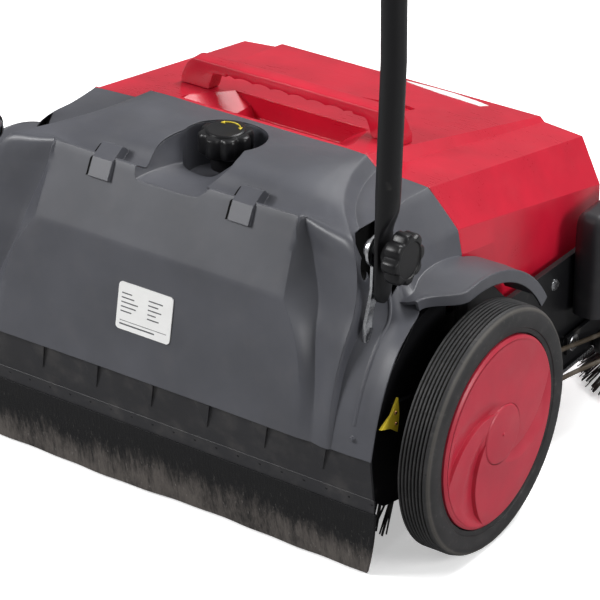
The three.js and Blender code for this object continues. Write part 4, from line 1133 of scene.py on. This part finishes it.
def handle_top():
    """Bent tube over the legs, its foam grip and the sleeves that join it to them."""
    bottom, top = LEG_TOP_Z + 2, HANDLE_TOP_Z
    side = [(LEG_TOP_X, bottom), (239.5, bottom + 100), (235, bottom + 250), (232, top - 61)]
    bend = [(230.6, top - 44), (225, top - 25), (213, top - 9), (196, top - 1.5), (178, top)]
    right = [(x, PIVOT_Y, z) for x, z in side + bend]
    left = [(-x, y, z) for x, y, z in right[::-1]]
    path = curve_through([*right, (90, PIVOT_Y, top), (0, PIVOT_Y, top), (-90, PIVOT_Y, top), *left], 8)
    circle = around(0, 0, TUBE_RADIUS, 28)
    piece("handle_bar_tube", sweep(path, circle, normal=(0, 1, 0)), STEEL, "handle", ["handle_bar"], sharp=50)
    profile = [(TUBE_RADIUS + 0.3, -150), (15.5, -150), (16.6, -148.6), (17, -146)]
    rings = 22
    for k in range(1, rings):
        x = -146 + 292 * k / rings
        profile += [(17, x - 0.9), (16.3, x - 0.5), (16.3, x + 0.5), (17, x + 0.9)]
    profile += [(17, 146), (16.6, 148.6), (15.5, 150), (TUBE_RADIUS + 0.3, 150)]
    piece("handle_grip_foam", lathe_x(profile, PIVOT_Y, top, 64), FOAM, "handle", ["handle_grip"])
    inside = TUBE_RADIUS + 1.6
    coupler = lathe_z([(inside, 612), (15.6, 612), (16.5, 613.5), (16.5, 637), (15.8, 638), (15.8, 642),
        (16.5, 643), (16.5, 666.5), (15.6, 668), (inside, 668)], LEG_TOP_X, PIVOT_Y, 64)
    pair("handle_coupler_sleeve", coupler, BLACK, "handle", "handle_coupler_SIDE")


# ---- Brooms -------------------------------------------------------------------------------
def main_broom():
    """Six twisted rows of tufts on the broom's core."""
    rng = random.Random(3)
    root = 31.0
    tufts = []
    per_row = 34
    half = size("broom_bristles").x / 2 - 6
    for row_turn in turns(6):
        for k in range(per_row):
            share = k / (per_row - 1)
            x = -half + 2 * half * share
            lean = row_turn + share * pi / 3
            for _ in range(7):
                a = lean + rng.uniform(-0.16, 0.16)
                dx = rng.uniform(-5.5, 5.5)
                reach = BROOM_RADIUS - rng.uniform(0.2, 2.5)
                start = (x + dx * 0.4, BROOM_Y + root * cos(lean), BROOM_Z + root * sin(lean))
                end = (x + dx, BROOM_Y + reach * cos(a), BROOM_Z + reach * sin(a))
                tufts.append(rod(start, end, 1.5, 5, tip=0.9))
    piece("main_broom_tufts", merge(*tufts), BRISTLE, "main_broom", ["broom_bristles"])


def side_brooms():
    rng = random.Random(7)
    tufts = []
    for lean in turns(26):
        for _ in range(12):
            a = lean + rng.uniform(-0.05, 0.05)
            b = lean + rng.uniform(-0.14, 0.14)
            root = 43 + rng.uniform(-3.5, 3.5)
            reach = SIDE_BROOM_RADIUS - rng.uniform(0.5, 9)
            start = (SIDE_BROOM_X + root * cos(a), SIDE_BROOM_Y + root * sin(a), 45)
            end = (SIDE_BROOM_X + reach * cos(b), SIDE_BROOM_Y + reach * sin(b),
                3.4 + rng.uniform(0, 2.5))
            tufts.append(rod(start, end, 1.1, 5, tip=0.6))
    pair("side_broom_tufts", merge(*tufts), BRISTLE, "side_broom_SIDE", "side_bristles_SIDE")
    profile = [(0, 44), (53, 44), (55, 45.5), (55, 54), (53, 56), (30, 57), (24, 58), (24, 60), (18, 64),
        (18, 68), (24, 72), (24, 74), (8, 74), (8, 104), (0, 104)]
    disc = lathe_z(profile, SIDE_BROOM_X, SIDE_BROOM_Y, 72)
    ribs = merge(*[turned(block(SIDE_BROOM_X + 25, SIDE_BROOM_X + 52, SIDE_BROOM_Y - 1, SIDE_BROOM_Y + 1,
        55, 60), 60 * k, "Z", (SIDE_BROOM_X, SIDE_BROOM_Y, 0)) for k in range(6)])
    pair("side_disc_ribbed", merge(disc, ribs), BLACK, "side_broom_SIDE", "side_disc_SIDE")


def drive_belts():
    """Round cord from the pulley on each wheel down to its side broom."""
    belt_x, wheel_reach, front_reach = 266, 30.8, 22.8
    points = [(belt_x, wheel_reach * cos(radians(d)), AXLE_Z + wheel_reach * sin(radians(d)))
        for d in range(-90, -271, -30)]
    points.append((belt_x + 1, 170, 113))
    points += [(SIDE_BROOM_X + front_reach * cos(radians(d)), SIDE_BROOM_Y + front_reach
        * sin(radians(d)), 66) for d in range(190, -11, -40)]
    points.append((belt_x + 9, 200, 78))
    cord = sweep(curve_through(points, 9, ring=True), around(0, 0, 2.5, 12), normal=(0.3, 0.1, 1),
        ring=True)
    for side, sign, solid in zip(SIDES, (1, -1), (cord, mirror(cord))):
        made = piece(f"drive_belt_cord_{side}", solid, BELT, None, [f"drive_belt_{side}"], sharp=80)
        x = sign * belt_x * MM
        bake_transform(made)


# ---- Front and underside ------------------------------------------------------------------
def guards():
    """Rounded housing on the side frame, over the belt's run."""
    centre_x, centre_y, half_x, half_y, corner, wall = 271.5, 283, 19, 46, 15, 3

    def ring(z, inset):
        radius = max(corner - inset, 3)
        outline = rounded_rectangle(2 * (half_x - inset), 2 * (half_y - inset), radius, 8)
        return [(centre_x + x, centre_y + y, z) for x, y in outline]

    rise = [(128, 0), (222, 0), (229, 0.8), (234, 2.4), (237.5, 4.8), (239.8, 8), (240.8, 11), (241, 13)]
    outer = loft([ring(z, inset) for z, inset in rise])
    inner = loft([ring(z - wall, inset + wall) for z, inset in rise[:-1]])
    pair("side_guard_shell", carve(outer, cuts=[inner]), GUARD, "chassis", "side_cover_SIDE", sharp=30)


def casters():
    """Plastic wheels with a raised tread and a hollow between tread and boss."""
    x, r = CASTER_X, CASTER_RADIUS
    half = [(4.4, 10.5), (14, 10.5), (16, 8), (r - 8, 8), (r - 6, 10), (r - 1.5, 8), (r, 4.5)]
    profile = [(a, x - b) for a, b in half] + [(a, x + b) for a, b in half[::-1]]
    pair("caster_wheel_round", lathe_x(profile, CASTER_WHEEL_Y, r, 72), BLACK, "caster_roll_SIDE",
        "caster_wheel_SIDE")


def rollers():
    """Bumper roller with a bright ring round its bronze core."""
    x = 252.4
    rim = [(0, 0), (6, 0), (6, 1.2), (13, 1.8), (15, 3.4), (15, 10), (13.4, 12.4), (11, 12.6),
        (10.4, 11.4), (0, 11.4)]
    ring = [(7.2, 11), (10, 11), (10, 12.7), (7.2, 12.7)]
    core = [(0, 13), (4.5, 12.8), (6.8, 11.8), (6.8, 11), (0, 11)]
    for name, profile, sides, material, node in (("round", rim, 64, BLACK, "frame_roller_SIDE"),
            ("ring", ring, 48, ZINC, None), ("core", core, 48, BRONZE, None)):
        solid = lathe_x([(r, x + d) for r, d in profile], ROLLER_Y, ROLLER_Z, sides)
        pair(f"frame_roller_{name}", solid, material, "roller_SIDE", node)


def chassis_trim():
    """Painted highlight: a bright zinc strip along the lower edge of the frame's rail, and the bolts along
    the side frames.
    """
    # Painted highlight: this thin bright strip stands for the light caught along the rail's lower edge.
    strip = block(255.6, 256.8, 160, 288, 62.2, 65.6)
    pair("rail_edge_highlight_strip", strip, ZINC, "chassis")
    bolts = []
    for y, z in ((170, 84), (210, 172), (300, 172), (328, 124)):
        hexagon = [(y + a, z + b) for a, b in around(0, 0, 5, 6)]
        bolts.append(prism_x(hexagon, 251.8, 254.6))
        bolts.append(lathe_x([(0, 251.8), (6.4, 251.8), (6.4, 252.6), (0, 252.6)], y, z, 24))
    pair("side_frame_bolts", merge(*bolts), ZINC, "chassis")
    pins = lathe_x([(0, 252.3), (5, 252.3), (5, 261.3), (8.6, 261.3), (9, 261.8), (8.2, 262.8), (0, 263)],
        238, 96, 40)
    pair("arm_pin_round", pins, ZINC, "chassis", "arm_pin_SIDE")


def carried_over():
    """CAD nodes whose shape is right, with their own node materials."""
    repaint(STEEL, *both("side_frame", "side_arm"), "front_crossmember", "broom_carrier")
    repaint(ZINC, *both("axle", "caster_fork"))
    repaint(DARK_ZINC, "flap_clamp_strip")
    repaint(NYLON, *both("wheel_rim", "broom_pinion"), "broom_core", "height_cam")


# ---- Stage --------------------------------------------------------------------------------
def studio_world():
    """White behind the machine; for its lighting a room that is bright above and dim below."""
    world = bpy.data.worlds.new("studio")
    look = Look(world)
    height = look.node("ShaderNodeSeparateXYZ", "Z", {0: look.node("ShaderNodeTexCoord", "Generated")})
    strength = look.node("ShaderNodeMapRange", 0,
        {"Value": height, "From Min": -0.1, "From Max": 0.9, "To Min": 0.16, "To Max": 0.62})
    room = look.node("ShaderNodeBackground", 0, {"Strength": strength})
    white = look.node("ShaderNodeBackground", 0, {"Color": (1.0, 1.0, 1.0)})
    seen = look.node("ShaderNodeLightPath", "Is Camera Ray")
    look.feed(look.tree.nodes["World Output"].inputs["Surface"],
        look.node("ShaderNodeMixShader", 0, {0: seen, 1: room, 2: white}))
    bpy.context.scene.world = world


def placed(name, data, place, target):
    """Puts a lamp or a camera at a place, turned towards a target."""
    made = bpy.data.objects.new(name, data)
    made.location = place
    made.rotation_euler = (Vector(target) - Vector(place)).to_track_quat("-Z", "Y").to_euler()
    bpy.context.scene.collection.objects.link(made)
    return made


def stage():
    """Pale floor, soft studio lights and the camera."""
    mesh = bpy.data.meshes.new("floor")
    reach = 14
    corners = [(-reach, -reach, 0), (reach, -reach, 0), (reach, reach, 0), (-reach, reach, 0)]
    mesh.from_pydata(corners, [], [(0, 1, 2, 3)])
    mesh.materials.append(pale_floor("floor_look"))
    floor = bpy.data.objects.new("floor", mesh)
    bpy.context.scene.collection.objects.link(floor)
    studio_world()
    bpy.context.scene.view_settings.view_transform = "Standard"
    for name, place, width, power in (("key", (-1.9, -2.3, 2.1), 0.9, 88.0),
            ("top", (0.6, 1.6, 2.9), 1.5, 85.0), ("side", (3.0, -0.2, 1.5), 1.0, 46.0)):
        light = bpy.data.lights.new(name, "AREA")
        light.shape = "SQUARE"
        light.size = width
        light.energy = power
        placed(name, light, place, (0, ORIGIN_Y, 0.2))
    lens = bpy.data.cameras.new("camera")
    lens.lens = 180
    lens.sensor_width = 36
    bpy.context.scene.camera = placed("camera", lens, (1.5554, ORIGIN_Y - 2.1112, 1.5910),
        (0.0874, ORIGIN_Y, 0.197))


rear_cover()
type_plate()
rear_apron()
rubber_flap()
height_knob()
star_knobs()
handle_brackets()
height_pointers()
wheels()
hopper_tub()
hopper_decal()
hopper_grip()
handle_legs()
handle_top()
main_broom()
side_brooms()
drive_belts()
guards()
casters()
rollers()
chassis_trim()
carried_over()
stage()
